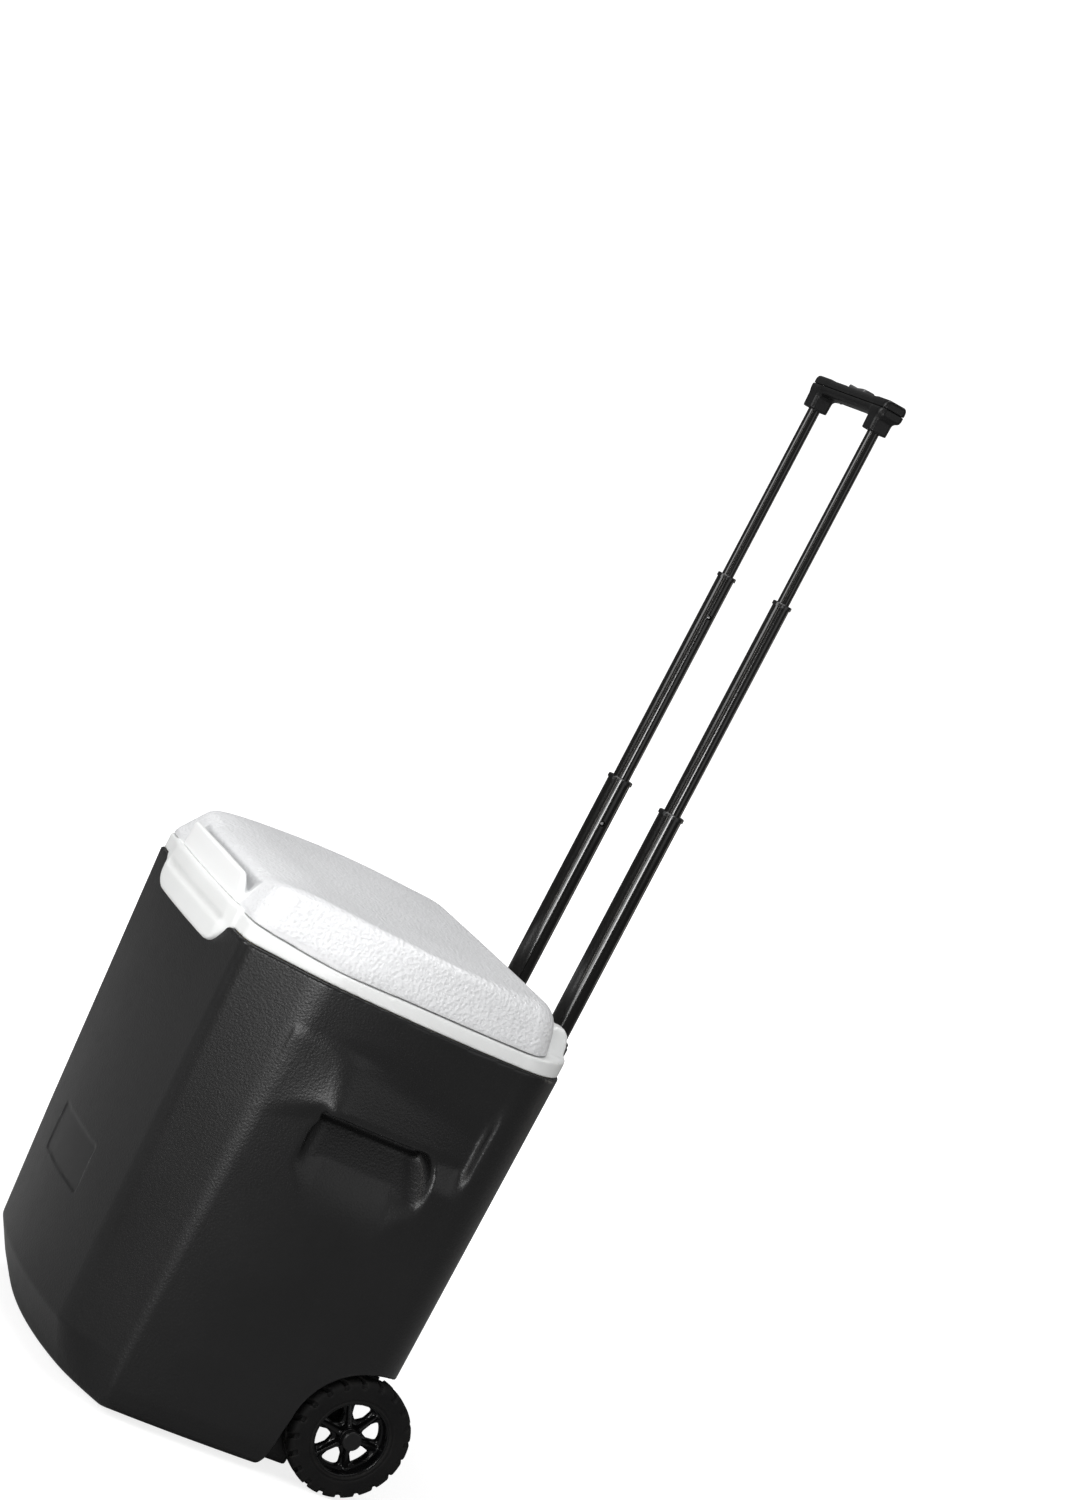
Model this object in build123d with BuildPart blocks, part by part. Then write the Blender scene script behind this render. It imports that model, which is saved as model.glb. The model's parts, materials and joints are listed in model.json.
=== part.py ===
from build123d import *
import math
import os

os.makedirs("parts", exist_ok=True)

# Wheeled cooler, standing upright with its pull handle fully drawn out.
# Millimetres. +Z up, -Y is the front, +Y is the back with the handle and
# the wheels, the origin is on the ground under the middle of the cooler.

# ------------------------------------------------------------ driving sizes
# Outer body, one row per height:
# z, front centre y, soft corner x, y, hard corner x, y, side half width,
# rear wall y, rear corner radius
BODY = [
    (3.0, -124.0, 112.0, -107.0, 143.0, -90.0, 147.0, 134.5, 46.0),
    (12.0, -130.5, 113.0, -114.0, 149.0, -92.0, 153.0, 134.5, 46.0),
    (24.0, -138.0, 114.0, -124.0, 150.0, -93.0, 155.0, 134.5, 46.0),
    (46.0, -150.0, 115.5, -137.0, 150.5, -94.0, 156.0, 134.5, 46.0),
    (145.0, -155.0, 120.5, -143.0, 153.0, -95.0, 160.0, 134.5, 48.0),
    (372.0, -160.0, 131.0, -155.0, 158.0, -95.0, 168.0, 134.5, 52.0),
]
# Lid outside, same columns
LID = [
    (387.0, -154.6, 130.0, -153.8, 156.5, -94.0, 166.5, 106.0, 36.0),
    (392.0, -153.4, 129.5, -152.6, 156.2, -93.8, 166.0, 105.8, 36.0),
    (417.0, -141.0, 115.0, -140.4, 143.3, -78.0, 158.5, 103.8, 37.0),
    (421.0, -139.0, 112.6, -138.4, 141.0, -75.9, 156.9, 103.5, 37.6),
]
WALL = 2.6            # outer body wall
BODY_Z0 = 3.0         # underside of the body
RIM_Z = 372.0         # top edge of the outer body
RIM_TOP = 386.0       # top face of the white rim
RIM_INSET = 1.2
LID_Z0 = 387.0        # lower edge of the lid
LID_Z1 = 421.0
LINER_WALL = 2.2
TUB_C = -11.0         # y of the middle of the inner tub
TUB_X, TUB_Y = 265.0, 219.0       # outside of the tub at the rim
STEP_Z = 120.0        # raised tub floor above the wheel recess
FLOOR_Z = 68.0        # tub floor
STEP_Y = 40.0

WHEEL_Y, WHEEL_Z = 107.5, 50.0
WHEEL_R = 50.0
WHEEL_X0, WHEEL_X1 = 129.0, 155.0
RIM_R = 33.0          # outside of the hub, inside of the tyre
DISH_R = 29.2         # visible dish of the hub
ARCH_R = 54.0
AXLE_R = 4.0
RIB_X0, RIB_X1 = 96.0, 106.0

TUBE_X, TUBE_Y = 56.5, 149.5
R0, R0I = 12.5, 11.0              # fixed outer tube
R1, R1I = 10.0, 8.7               # first stage
R2, R2I = 7.25, 6.15              # second stage
R3, R3I = 5.0, 4.0                # third stage
Z_OUT0, Z_OUT1 = 112.0, 384.0
FLANGE = 3.5
Z1, Z2, Z3 = 590.5, 779.0, 931.5  # tops of the stage collars, underside of the grip
S1_BOTTOM, S2_BOTTOM, S3_BOTTOM = 341.0, 541.0, 732.0
PIN1_Z, PIN2_Z, PIN3_Z = 346.5, 550.0, 741.0

GRIP_X = 68.0
GRIP_Y0, GRIP_Y1 = 140.5, 164.0
POST = 18.0
BAR_Z0, BAR_SPLIT, BAR_Z1 = 944.5, 952.0, 959.5
BUTTON_Z1 = 961.5
BAR_TOP = 956.6       # top of the release bar, against the grip's roof

HINGE_Y, HINGE_Z = 115.0, 400.0
HINGE_R = 2.0
EAR_R = 8.0
KNUCKLE_R = 7.0

POCKET_Z0, LIP_Z, AWNING_Z1 = 228.0, 281.5, 336.0


# ------------------------------------------------------------ plan outlines
def level(rows, z):
    if z <= rows[0][0]:
        return rows[0][1:]
    for a, b in zip(rows, rows[1:]):
        if z <= b[0]:
            t = (z - a[0]) / (b[0] - a[0])
            return tuple(p + (q - p) * t for p, q in zip(a[1:], b[1:]))
    return rows[-1][1:]


def unit(x, y):
    n = math.hypot(x, y)
    return x / n, y / n


def plan_points(rows, z, inset=0.0):
    """Right-hand half of the outline, moved inwards by inset."""
    yc, xs, ys, xh, yh, wm, yr, rr = level(rows, z)
    ws = wm - 3.0
    cy = yr - rr
    ym = 0.5 * (yh + cy) - 8.0
    n_front = unit(2 * (ys - yc) / xs, -1.0)
    n_facet = unit(yh - ys, -(xh - xs))
    cx = 2 * wm - 0.5 * (xh + ws)
    cyy = 2 * ym - 0.5 * (yh + cy)
    n_side = unit(cyy - yh, -(cx - xh))

    def moved(p, a, b):
        k = inset / (1 + a[0] * b[0] + a[1] * b[1])
        return p[0] - k * (a[0] + b[0]), p[1] - k * (a[1] + b[1])

    s = moved((xs, ys), n_front, n_facet)
    h = moved((xh, yh), n_facet, n_side)
    r = rr - inset
    q = r * math.sqrt(0.5)
    return {
        "front": (0.0, yc + inset),
        "soft": s,
        "hard": h,
        "side": (wm - inset, ym),
        "arc0": (ws - inset, cy),
        "arc1": (ws - rr + q, cy + q),
        "arc2": (ws - rr, yr - inset),
    }


def outline(rows, z, inset=0.0):
    """Closed outline drawn in the running line builder."""
    p = plan_points(rows, z, inset)
    flip = lambda a: (-a[0], a[1])
    ThreePointArc(flip(p["soft"]), p["front"], p["soft"])
    Line(p["soft"], p["hard"])
    ThreePointArc(p["hard"], p["side"], p["arc0"])
    ThreePointArc(p["arc0"], p["arc1"], p["arc2"])
    Line(p["arc2"], flip(p["arc2"]))
    ThreePointArc(flip(p["arc2"]), flip(p["arc1"]), flip(p["arc0"]))
    ThreePointArc(flip(p["arc0"]), flip(p["side"]), flip(p["hard"]))
    Line(flip(p["hard"]), flip(p["soft"]))


def tapered(rows, heights, inset=0.0, at=None):
    """Solid through the outlines at the given heights; at gives other
    heights to read the outline from."""
    with BuildPart() as block:
        for i, z in enumerate(heights):
            with BuildSketch(Plane.XY.offset(z)):
                with BuildLine():
                    outline(rows, at[i] if at else z, inset)
                make_face()
        loft(ruled=True)
    return block.part


def tub_block(grow, z_top):
    """Outside of the inner tub, moved outwards by grow."""
    with BuildPart() as block:
        for z, w, d in ((STEP_Z - grow, 247.0, 201.0), (z_top, TUB_X, TUB_Y)):
            with BuildSketch(Plane.XY.offset(z)):
                with Locations((0, TUB_C)):
                    RectangleRounded(w + 2 * grow, d + 2 * grow, 32 + grow)
        loft(ruled=True)
        front = TUB_C - 100.5
        for z, w, trim in ((FLOOR_Z - grow, 240.0, 3.5), (STEP_Z + 1, 247.0, 0.0)):
            with BuildSketch(Plane.XY.offset(z)):
                y0, y1 = front + trim - grow, STEP_Y - trim + grow
                with Locations((0, (y0 + y1) / 2)):
                    RectangleRounded(w + 2 * grow, y1 - y0, 28 + grow)
        loft(ruled=True)
    return block.part


# ------------------------------------------------------------ outer body
# Recess across the rear of the underside, round the axle.
def recess_block(grow):
    r = ARCH_R + grow
    with BuildPart() as block:
        with BuildSketch(Plane.YZ):
            with Locations((WHEEL_Y, WHEEL_Z)):
                Circle(r)
            with Locations((WHEEL_Y + 50, WHEEL_Z + r - 150)):
                Rectangle(100, 300)
            with Locations((131.0 - grow, WHEEL_Z - 100)):
                Rectangle(100, 200)
        extrude(amount=200, both=True)
        # the wheel arches run straight down in front of the tyres
        with BuildSketch(Plane.XY.offset(WHEEL_Z)):
            with Locations((175 - grow, 90 - grow), (-175 + grow, 90 - grow)):
                Rectangle(100, 79)
        extrude(amount=-100)
    return block.part


# Space of a hand pocket in the right side, under its moulded bar.
with BuildPart() as pocket:
    with BuildSketch(Plane.XZ.offset(52)):
        with BuildLine():
            Polyline((200, 222), (163, 228), (141, 256), (141, LIP_Z), (200, LIP_Z), close=True)
        make_face()
    extrude(amount=-118)
    with BuildSketch(Plane.XY.offset(LIP_Z - 2)):
        with BuildLine():
            Polyline((141, -46), (166, -46), (150, 62), (141, 62), close=True)
        make_face()
    extrude(amount=20)

# Thick zone of the wall that carries the pocket and the bar.
def pocket_block(grow):
    with BuildPart() as block:
        for x0, x1, y0, y1, z0, z1 in (
            (137.5, 220, -57, 70, 219, 303),
            (150.0, 220, 60, 92, 256, 303),
            (148.0, 220, -20, 92, 302, 341),
            (156.0, 220, -62, -18, 300, 341),
        ):
            with BuildSketch(Plane.XY.offset(z0 - grow)):
                with Locations(((x0 - grow + x1) / 2, (y0 + y1) / 2)):
                    Rectangle(x1 - x0 + grow, y1 - y0 + 2 * grow)
            extrude(amount=z1 - z0 + 2 * grow)
    return block.part


# The bar: an awning that stands proud at the front.
with BuildPart() as awning:
    for z, pts in (
        (LIP_Z, ((146, -88), (160, -88), (174, -50), (153.5, 87), (146, 87))),
        (AWNING_Z1, ((146, -80), (159.5, -80), (163.5, -60), (152, 87), (146, 87))),
    ):
        with BuildSketch(Plane.XY.offset(z)):
            with BuildLine():
                Polyline(*pts, close=True)
            make_face()
    loft(ruled=True)

# Air in front of the bar where it falls back behind the side wall.
with BuildPart() as bar_air:
    for z, xf, xr in ((262.0, 174.0, 153.5), (LIP_Z, 174.0, 153.5), (AWNING_Z1 + 1, 163.5, 152.0)):
        with BuildSketch(Plane.XY.offset(z)):
            with BuildLine():
                Polyline((xf, -50), (xr, 87), (200, 87), (200, -50), close=True)
            make_face()
    loft(ruled=True)

heights = [row[0] for row in BODY]
shell_outer = tapered(BODY, heights)
cavity_z = [BODY_Z0 + WALL] + heights[1:-1] + [RIM_Z + 1]
cavity_at = [BODY_Z0] + heights[1:-1] + [RIM_Z]

with BuildPart() as cavity:
    add(tapered(BODY, cavity_z, WALL, cavity_at))
    add(recess_block(WALL), mode=Mode.SUBTRACT)
    add(pocket_block(0.0), mode=Mode.SUBTRACT)
    mirror(pocket_block(0.0), about=Plane.YZ, mode=Mode.SUBTRACT)

SCREW_SPOTS = [(sx * x, z) for sx in (1, -1) for x, z in ((28.0, 124.0), (12.0, 124.0), (28.0, 363.0), (12.0, 363.0))]

with BuildPart() as body_shell:
    add(shell_outer)
    add(awning.part)
    mirror(awning.part, about=Plane.YZ)
    add(cavity.part, mode=Mode.SUBTRACT)
    add(bar_air.part, mode=Mode.SUBTRACT)
    mirror(bar_air.part, about=Plane.YZ, mode=Mode.SUBTRACT)
    add(pocket.part, mode=Mode.SUBTRACT)
    mirror(pocket.part, about=Plane.YZ, mode=Mode.SUBTRACT)
    add(recess_block(0.0), mode=Mode.SUBTRACT)
    # ribs that hang from the recess and carry the axle
    for s in (1, -1):
        with BuildSketch(Plane.YZ.offset(s * (RIB_X0 + RIB_X1) / 2)):
            with Locations((WHEEL_Y, WHEEL_Z)):
                Circle(12)
            with BuildLine():
                Polyline((WHEEL_Y - 12, WHEEL_Z), (WHEEL_Y - 17, 102.5), (WHEEL_Y, 105.0), (WHEEL_Y + 17, 105.0),
                         (WHEEL_Y + 12, WHEEL_Z), close=True)
            make_face()
        extrude(amount=(RIB_X1 - RIB_X0) / 2, both=True)
    with Locations(Plane.YZ):
        with Locations((WHEEL_Y, WHEEL_Z, 0)):
            Cylinder(AXLE_R + 0.05, 240, mode=Mode.SUBTRACT)
    # front feet
    with BuildSketch(Plane.XY):
        with Locations((88, -82), (-88, -82)):
            Circle(12)
    extrude(amount=4)
    # screw bosses behind the rear wall, and their pilot holes
    with BuildSketch(Plane.XZ.offset(-124)):
        with Locations(*SCREW_SPOTS):
            Circle(6)
    extrude(amount=-9)
    with BuildSketch(Plane.XZ.offset(-123)):
        with Locations(*SCREW_SPOTS):
            Circle(2.0)
    extrude(amount=-14, mode=Mode.SUBTRACT)
body_shell.part.label = "body_shell"
export_step(body_shell.part, "parts/body_shell.step")

with BuildPart() as foam_core:
    add(tapered(BODY, [BODY_Z0 + WALL + 0.5] + heights[1:-1] + [RIM_Z - 0.5], WALL + 0.5, cavity_at))
    add(recess_block(WALL + 0.5), mode=Mode.SUBTRACT)
    add(pocket_block(0.5), mode=Mode.SUBTRACT)
    mirror(pocket_block(0.5), about=Plane.YZ, mode=Mode.SUBTRACT)
    add(tub_block(0.4, 390.0), mode=Mode.SUBTRACT)
    with BuildSketch(Plane.XZ.offset(-122)):
        with Locations(*SCREW_SPOTS):
            Circle(7)
    extrude(amount=-14, mode=Mode.SUBTRACT)
foam_core.part.label = "foam_core"
export_step(foam_core.part, "parts/foam_core.step")

# ------------------------------------------------------------ white tub with its rim
with BuildPart() as liner_tub:
    with BuildSketch(Plane.XY.offset(RIM_Z + 0.3)):
        with BuildLine():
            outline(BODY, RIM_Z, RIM_INSET)
        make_face()
    extrude(amount=RIM_TOP - RIM_Z - 0.3)
    # front tab, hanging over the top of the front panel
    with BuildSketch(Plane.XZ.offset(152)):
        with BuildLine():
            Polyline((-79, RIM_TOP), (-79, 362), (-74, 351), (74, 351), (79, 362), (79, RIM_TOP), close=True)
        make_face()
    extrude(amount=12)
    add(tapered(BODY, [330.0, RIM_Z + 0.3], -0.3, [330.0, RIM_Z]), mode=Mode.SUBTRACT)
    with BuildSketch(Plane.XY.offset(RIM_Z - 1)):
        with BuildLine():
            outline(BODY, RIM_Z, RIM_INSET + 2.6)
        make_face()
    extrude(amount=RIM_TOP - RIM_Z - 2, mode=Mode.SUBTRACT)
    add(tub_block(0.0, RIM_TOP - 1))
    # inside of the tub
    for z, w, d in ((STEP_Z + LINER_WALL, 247.0, 201.0), (RIM_TOP + 1, TUB_X, TUB_Y)):
        with BuildSketch(Plane.XY.offset(z)):
            with Locations((0, TUB_C)):
                RectangleRounded(w - 2 * LINER_WALL, d - 2 * LINER_WALL, 30)
    loft(ruled=True, mode=Mode.SUBTRACT)
    for z, w, trim in ((FLOOR_Z + LINER_WALL, 240.0, 3.5), (STEP_Z + LINER_WALL + 1, 247.0, 0.0)):
        with BuildSketch(Plane.XY.offset(z)):
            y0, y1 = TUB_C - 100.5 + trim + LINER_WALL, STEP_Y - trim - LINER_WALL
            with Locations((0, (y0 + y1) / 2)):
                RectangleRounded(w - 2 * LINER_WALL, y1 - y0, 26)
    loft(ruled=True, mode=Mode.SUBTRACT)
    # rear ears that hold the hinge pins
    for s in (1, -1):
        with BuildSketch(Plane.YZ.offset(s * 119.5)):
            with Locations((HINGE_Y, HINGE_Z)):
                Circle(EAR_R)
            with BuildLine():
                Polyline((HINGE_Y - EAR_R, RIM_TOP - 2), (HINGE_Y - EAR_R, HINGE_Z),
                         (HINGE_Y, HINGE_Z + EAR_R), (HINGE_Y + 4.5, HINGE_Z + 7.3),
                         (HINGE_Y + 9.3, HINGE_Z + 3.8), (HINGE_Y + 12.2, HINGE_Z - 3),
                         (HINGE_Y + 13, RIM_TOP - 2), close=True)
            make_face()
        extrude(amount=7.5, both=True)
    with Locations(Plane.YZ):
        with Locations((HINGE_Y, HINGE_Z, 0)):
            Cylinder(HINGE_R + 0.02, 251, mode=Mode.SUBTRACT)
liner_tub.part.label = "liner_tub"
export_step(liner_tub.part, "parts/liner_tub.step")

with BuildPart() as hinge_pins:
    for s in (1, -1):
        with BuildSketch(Plane.YZ.offset(s * 99.5)):
            with Locations((HINGE_Y, HINGE_Z)):
                Circle(HINGE_R)
        extrude(amount=s * 25.5)
hinge_pins.part.label = "hinge_pins"
export_step(hinge_pins.part, "parts/hinge_pins.step")

# ------------------------------------------------------------ lid
def lid_block(z_bottom, drop, inset, foot=None):
    """Inside or outside of the lid: its top lies drop lower, its sides move
    in by inset, and its top falls away towards the front."""
    with BuildPart() as block:
        add(tapered(LID, [z_bottom, 392.0, 417.0 - drop, LID_Z1 - drop], inset, [foot or z_bottom, 392.0, 417.0, LID_Z1]))
        with BuildSketch(Plane.YZ):
            with BuildLine():
                Polyline((-104, 421.4 - drop), (-143, 412.2 - drop), (-165, 407.0 - drop), (-165, 426), (-104, 426),
                         close=True)
            make_face()
        extrude(amount=92, both=True, mode=Mode.SUBTRACT)
    return block.part


with BuildPart() as lid_shell:
    add(lid_block(LID_Z0, 0.0, 0.0))
    # front lip, a lifting edge with a groove behind it
    with BuildSketch(Plane.YZ):
        with BuildLine():
            Polyline((-157.4, LID_Z0), (-159.0, 408.0), (-158.0, 410.5), (-155.2, 410.5),
                     (-149.3, 396.5), (-140.0, 396.5), (-140.0, LID_Z0), close=True)
        make_face()
    extrude(amount=80, both=True)
    add(lid_block(LID_Z0 - 1, WALL, 2.6, LID_Z0), mode=Mode.SUBTRACT)
    # hinge knuckles
    for s in (1, -1):
        with BuildSketch(Plane.YZ.offset(s * 104.5)):
            with Locations((HINGE_Y, HINGE_Z)):
                Circle(KNUCKLE_R)
            with BuildLine():
                Polyline((103.2, HINGE_Z - 6.5), (HINGE_Y, HINGE_Z - KNUCKLE_R), (HINGE_Y, HINGE_Z + KNUCKLE_R),
                         (102.6, HINGE_Z + 8), close=True)
            make_face()
        extrude(amount=6.6, both=True)
    with Locations(Plane.YZ):
        with Locations((HINGE_Y, HINGE_Z, 0)):
            Cylinder(HINGE_R + 0.08, 240, mode=Mode.SUBTRACT)
lid_shell.part.label = "lid_shell"
export_step(lid_shell.part, "parts/lid_shell.step")

with BuildPart() as lid_pan:
    add(tapered(LID, [388.5, 390.5], 2.7, [389.1, 390.8]))
    with BuildSketch(Plane.XY.offset(379.0)):
        with Locations((0, TUB_C)):
            RectangleRounded(255, 209, 28)
    extrude(amount=9.6)
    with BuildSketch(Plane.XY.offset(381.2)):
        with Locations((0, TUB_C)):
            RectangleRounded(250.6, 204.6, 26)
    extrude(amount=12, mode=Mode.SUBTRACT)
lid_pan.part.label = "lid_pan"
export_step(lid_pan.part, "parts/lid_pan.step")

with BuildPart() as lid_foam:
    add(lid_block(390.8, WALL + 0.3, 2.95, 391.0))
    with BuildSketch(Plane.XY.offset(381.6)):
        with Locations((0, TUB_C)):
            RectangleRounded(249.8, 203.8, 25.6)
    extrude(amount=10)
lid_foam.part.label = "lid_foam"
export_step(lid_foam.part, "parts/lid_foam.step")

# ------------------------------------------------------------ wheels
# One opening between two spokes, pointing along its own x axis.
with BuildSketch(Plane.XY) as spoke_gap:
    with BuildLine():
        Polyline((10.5, 0), (14.5, -5.2), (23.5, -9.6), (27.2, -7.5), (27.9, 0), (27.2, 7.5),
                 (23.5, 9.6), (14.5, 5.2), close=True)
    make_face()

for side, s in (("right", 1), ("left", -1)):
    face = Plane(origin=(0, WHEEL_Y, WHEEL_Z), x_dir=(0, 1, 0), z_dir=(1, 0, 0))

    with BuildPart() as wheel:
        # rim ring, dish web and long boss, drawn as (radius, x)
        with BuildSketch(Plane(origin=(0, WHEEL_Y, WHEEL_Z), x_dir=(0, 1, 0), z_dir=(0, 0, 1))):
            with BuildLine():
                Polyline((AXLE_R + 0.1, s * 108), (8, s * 108), (8, s * 138), (DISH_R + 0.4, s * 138),
                         (DISH_R + 0.4, s * 131.2), (RIM_R, s * 131.2), (RIM_R, s * 152.8),
                         (DISH_R, s * 153.6), (DISH_R - 0.6, s * 152.8), (DISH_R - 0.9, s * 143.5), (8, s * 143.5),
                         (7.5, s * 151), (AXLE_R + 0.1, s * 151), close=True)
            make_face()
        revolve(axis=Axis((0, WHEEL_Y, WHEEL_Z), (1, 0, 0)))
        # openings between the six spokes
        with BuildSketch(Plane(origin=(s * 130, WHEEL_Y, WHEEL_Z), x_dir=(0, 1, 0), z_dir=(1, 0, 0))):
            with PolarLocations(0, 6, start_angle=24):
                add(spoke_gap.sketch)
        extrude(amount=s * 20, mode=Mode.SUBTRACT)
    wheel.part.label = "wheel_" + side
    export_step(wheel.part, "parts/wheel_" + side + ".step")

    with BuildPart() as tyre:
        with BuildSketch(Plane(origin=(0, WHEEL_Y, WHEEL_Z), x_dir=(0, 1, 0), z_dir=(0, 0, 1))):
            with BuildLine():
                Polyline((RIM_R + 0.05, s * 131), (30.4, s * 131), (30.4, s * 129.6), (47, s * 129),
                         (50, s * 132), (50, s * 152), (47, s * 155), (30.4, s * 154.6), (30.4, s * 153.9),
                         (RIM_R + 0.05, s * 153.2), close=True)
            make_face()
        revolve(axis=Axis((0, WHEEL_Y, WHEEL_Z), (1, 0, 0)))
    tyre.part.label = "tyre_" + side
    export_step(tyre.part, "parts/tyre_" + side + ".step")

with BuildPart() as axle:
    with BuildSketch(Plane.YZ):
        with Locations((WHEEL_Y, WHEEL_Z)):
            Circle(AXLE_R)
    extrude(amount=154.5, both=True)
axle.part.label = "axle"
export_step(axle.part, "parts/axle.step")

with BuildPart() as axle_caps:
    for s in (1, -1):
        with BuildSketch(Plane.YZ.offset(s * 151.6)):
            with Locations((WHEEL_Y, WHEEL_Z)):
                Circle(8)
        extrude(amount=s * 5.4)
    fillet(axle_caps.faces().sort_by(Axis.X)[-1].edges(), 1.5)
    fillet(axle_caps.faces().sort_by(Axis.X)[0].edges(), 1.5)
    for s in (1, -1):
        with BuildSketch(Plane.YZ.offset(s * 151.6)):
            with Locations((WHEEL_Y, WHEEL_Z)):
                Circle(AXLE_R)
        extrude(amount=s * 2.9, mode=Mode.SUBTRACT)
axle_caps.part.label = "axle_caps"
export_step(axle_caps.part, "parts/axle_caps.step")

with BuildPart() as axle_washers:
    for s in (1, -1):
        with BuildSketch(Plane.YZ.offset(s * 106.3)):
            with Locations((WHEEL_Y, WHEEL_Z)):
                Circle(8)
                Circle(AXLE_R + 0.15, mode=Mode.SUBTRACT)
        extrude(amount=s * 1.3)
axle_washers.part.label = "axle_washers"
export_step(axle_washers.part, "parts/axle_washers.step")

# ------------------------------------------------------------ handle mounts on the back wall
TUBE_SPOTS = [(TUBE_X, TUBE_Y), (-TUBE_X, TUBE_Y)]

with BuildPart() as tube_bracket_upper:
    with BuildSketch(Plane.XY.offset(350)):
        with Locations((0, 137.8)):
            Rectangle(92, 6.4)
        with Locations((TUBE_X, 142.05), (-TUBE_X, 142.05)):
            Rectangle(28, 14.9)
    extrude(amount=34)
    with BuildSketch(Plane.XY.offset(366)):
        with Locations(*TUBE_SPOTS):
            Circle(14)
    extrude(amount=18)
    with BuildSketch(Plane.XY.offset(349)):
        with Locations(*TUBE_SPOTS):
            Circle(R0 + 0.05)
    extrude(amount=36, mode=Mode.SUBTRACT)
    with BuildSketch(Plane.XZ.offset(-134)):
        with Locations(*SCREW_SPOTS):
            Circle(2.2)
    extrude(amount=-9, mode=Mode.SUBTRACT)
tube_bracket_upper.part.label = "tube_bracket_upper"
export_step(tube_bracket_upper.part, "parts/tube_bracket_upper.step")

with BuildPart() as tube_bracket_lower:
    with BuildSketch(Plane.XY.offset(108)):
        with Locations((0, 137.8)):
            Rectangle(92, 6.4)
        with Locations((TUBE_X, 142.05), (-TUBE_X, 142.05)):
            Rectangle(28, 14.9)
    extrude(amount=30)
    with BuildSketch(Plane.XY.offset(Z_OUT0)):
        with Locations(*TUBE_SPOTS):
            Circle(R0 + 0.05)
    extrude(amount=30, mode=Mode.SUBTRACT)
    # foot under each tube, with a peg up its inside
    with BuildSketch(Plane.XY.offset(108)):
        with Locations(*TUBE_SPOTS):
            Circle(R0)
    extrude(amount=4)
    with BuildSketch(Plane.XY.offset(Z_OUT0)):
        with Locations(*TUBE_SPOTS):
            Circle(R0I - 0.1)
            Circle(R0I - 3.0, mode=Mode.SUBTRACT)
    extrude(amount=14)
    with BuildSketch(Plane.XZ.offset(-134)):
        with Locations(*SCREW_SPOTS):
            Circle(2.2)
    extrude(amount=-9, mode=Mode.SUBTRACT)
tube_bracket_lower.part.label = "tube_bracket_lower"
export_step(tube_bracket_lower.part, "parts/tube_bracket_lower.step")

with BuildPart() as bracket_screws:
    with BuildSketch(Plane.XZ.offset(-125)):
        with Locations(*SCREW_SPOTS):
            Circle(1.95)
    extrude(amount=-16.1)
    with BuildSketch(Plane.XZ.offset(-141.1)):
        with Locations(*SCREW_SPOTS):
            Circle(3.8)
    extrude(amount=-2.2)
bracket_screws.part.label = "bracket_screws"
export_step(bracket_screws.part, "parts/bracket_screws.step")

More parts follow.
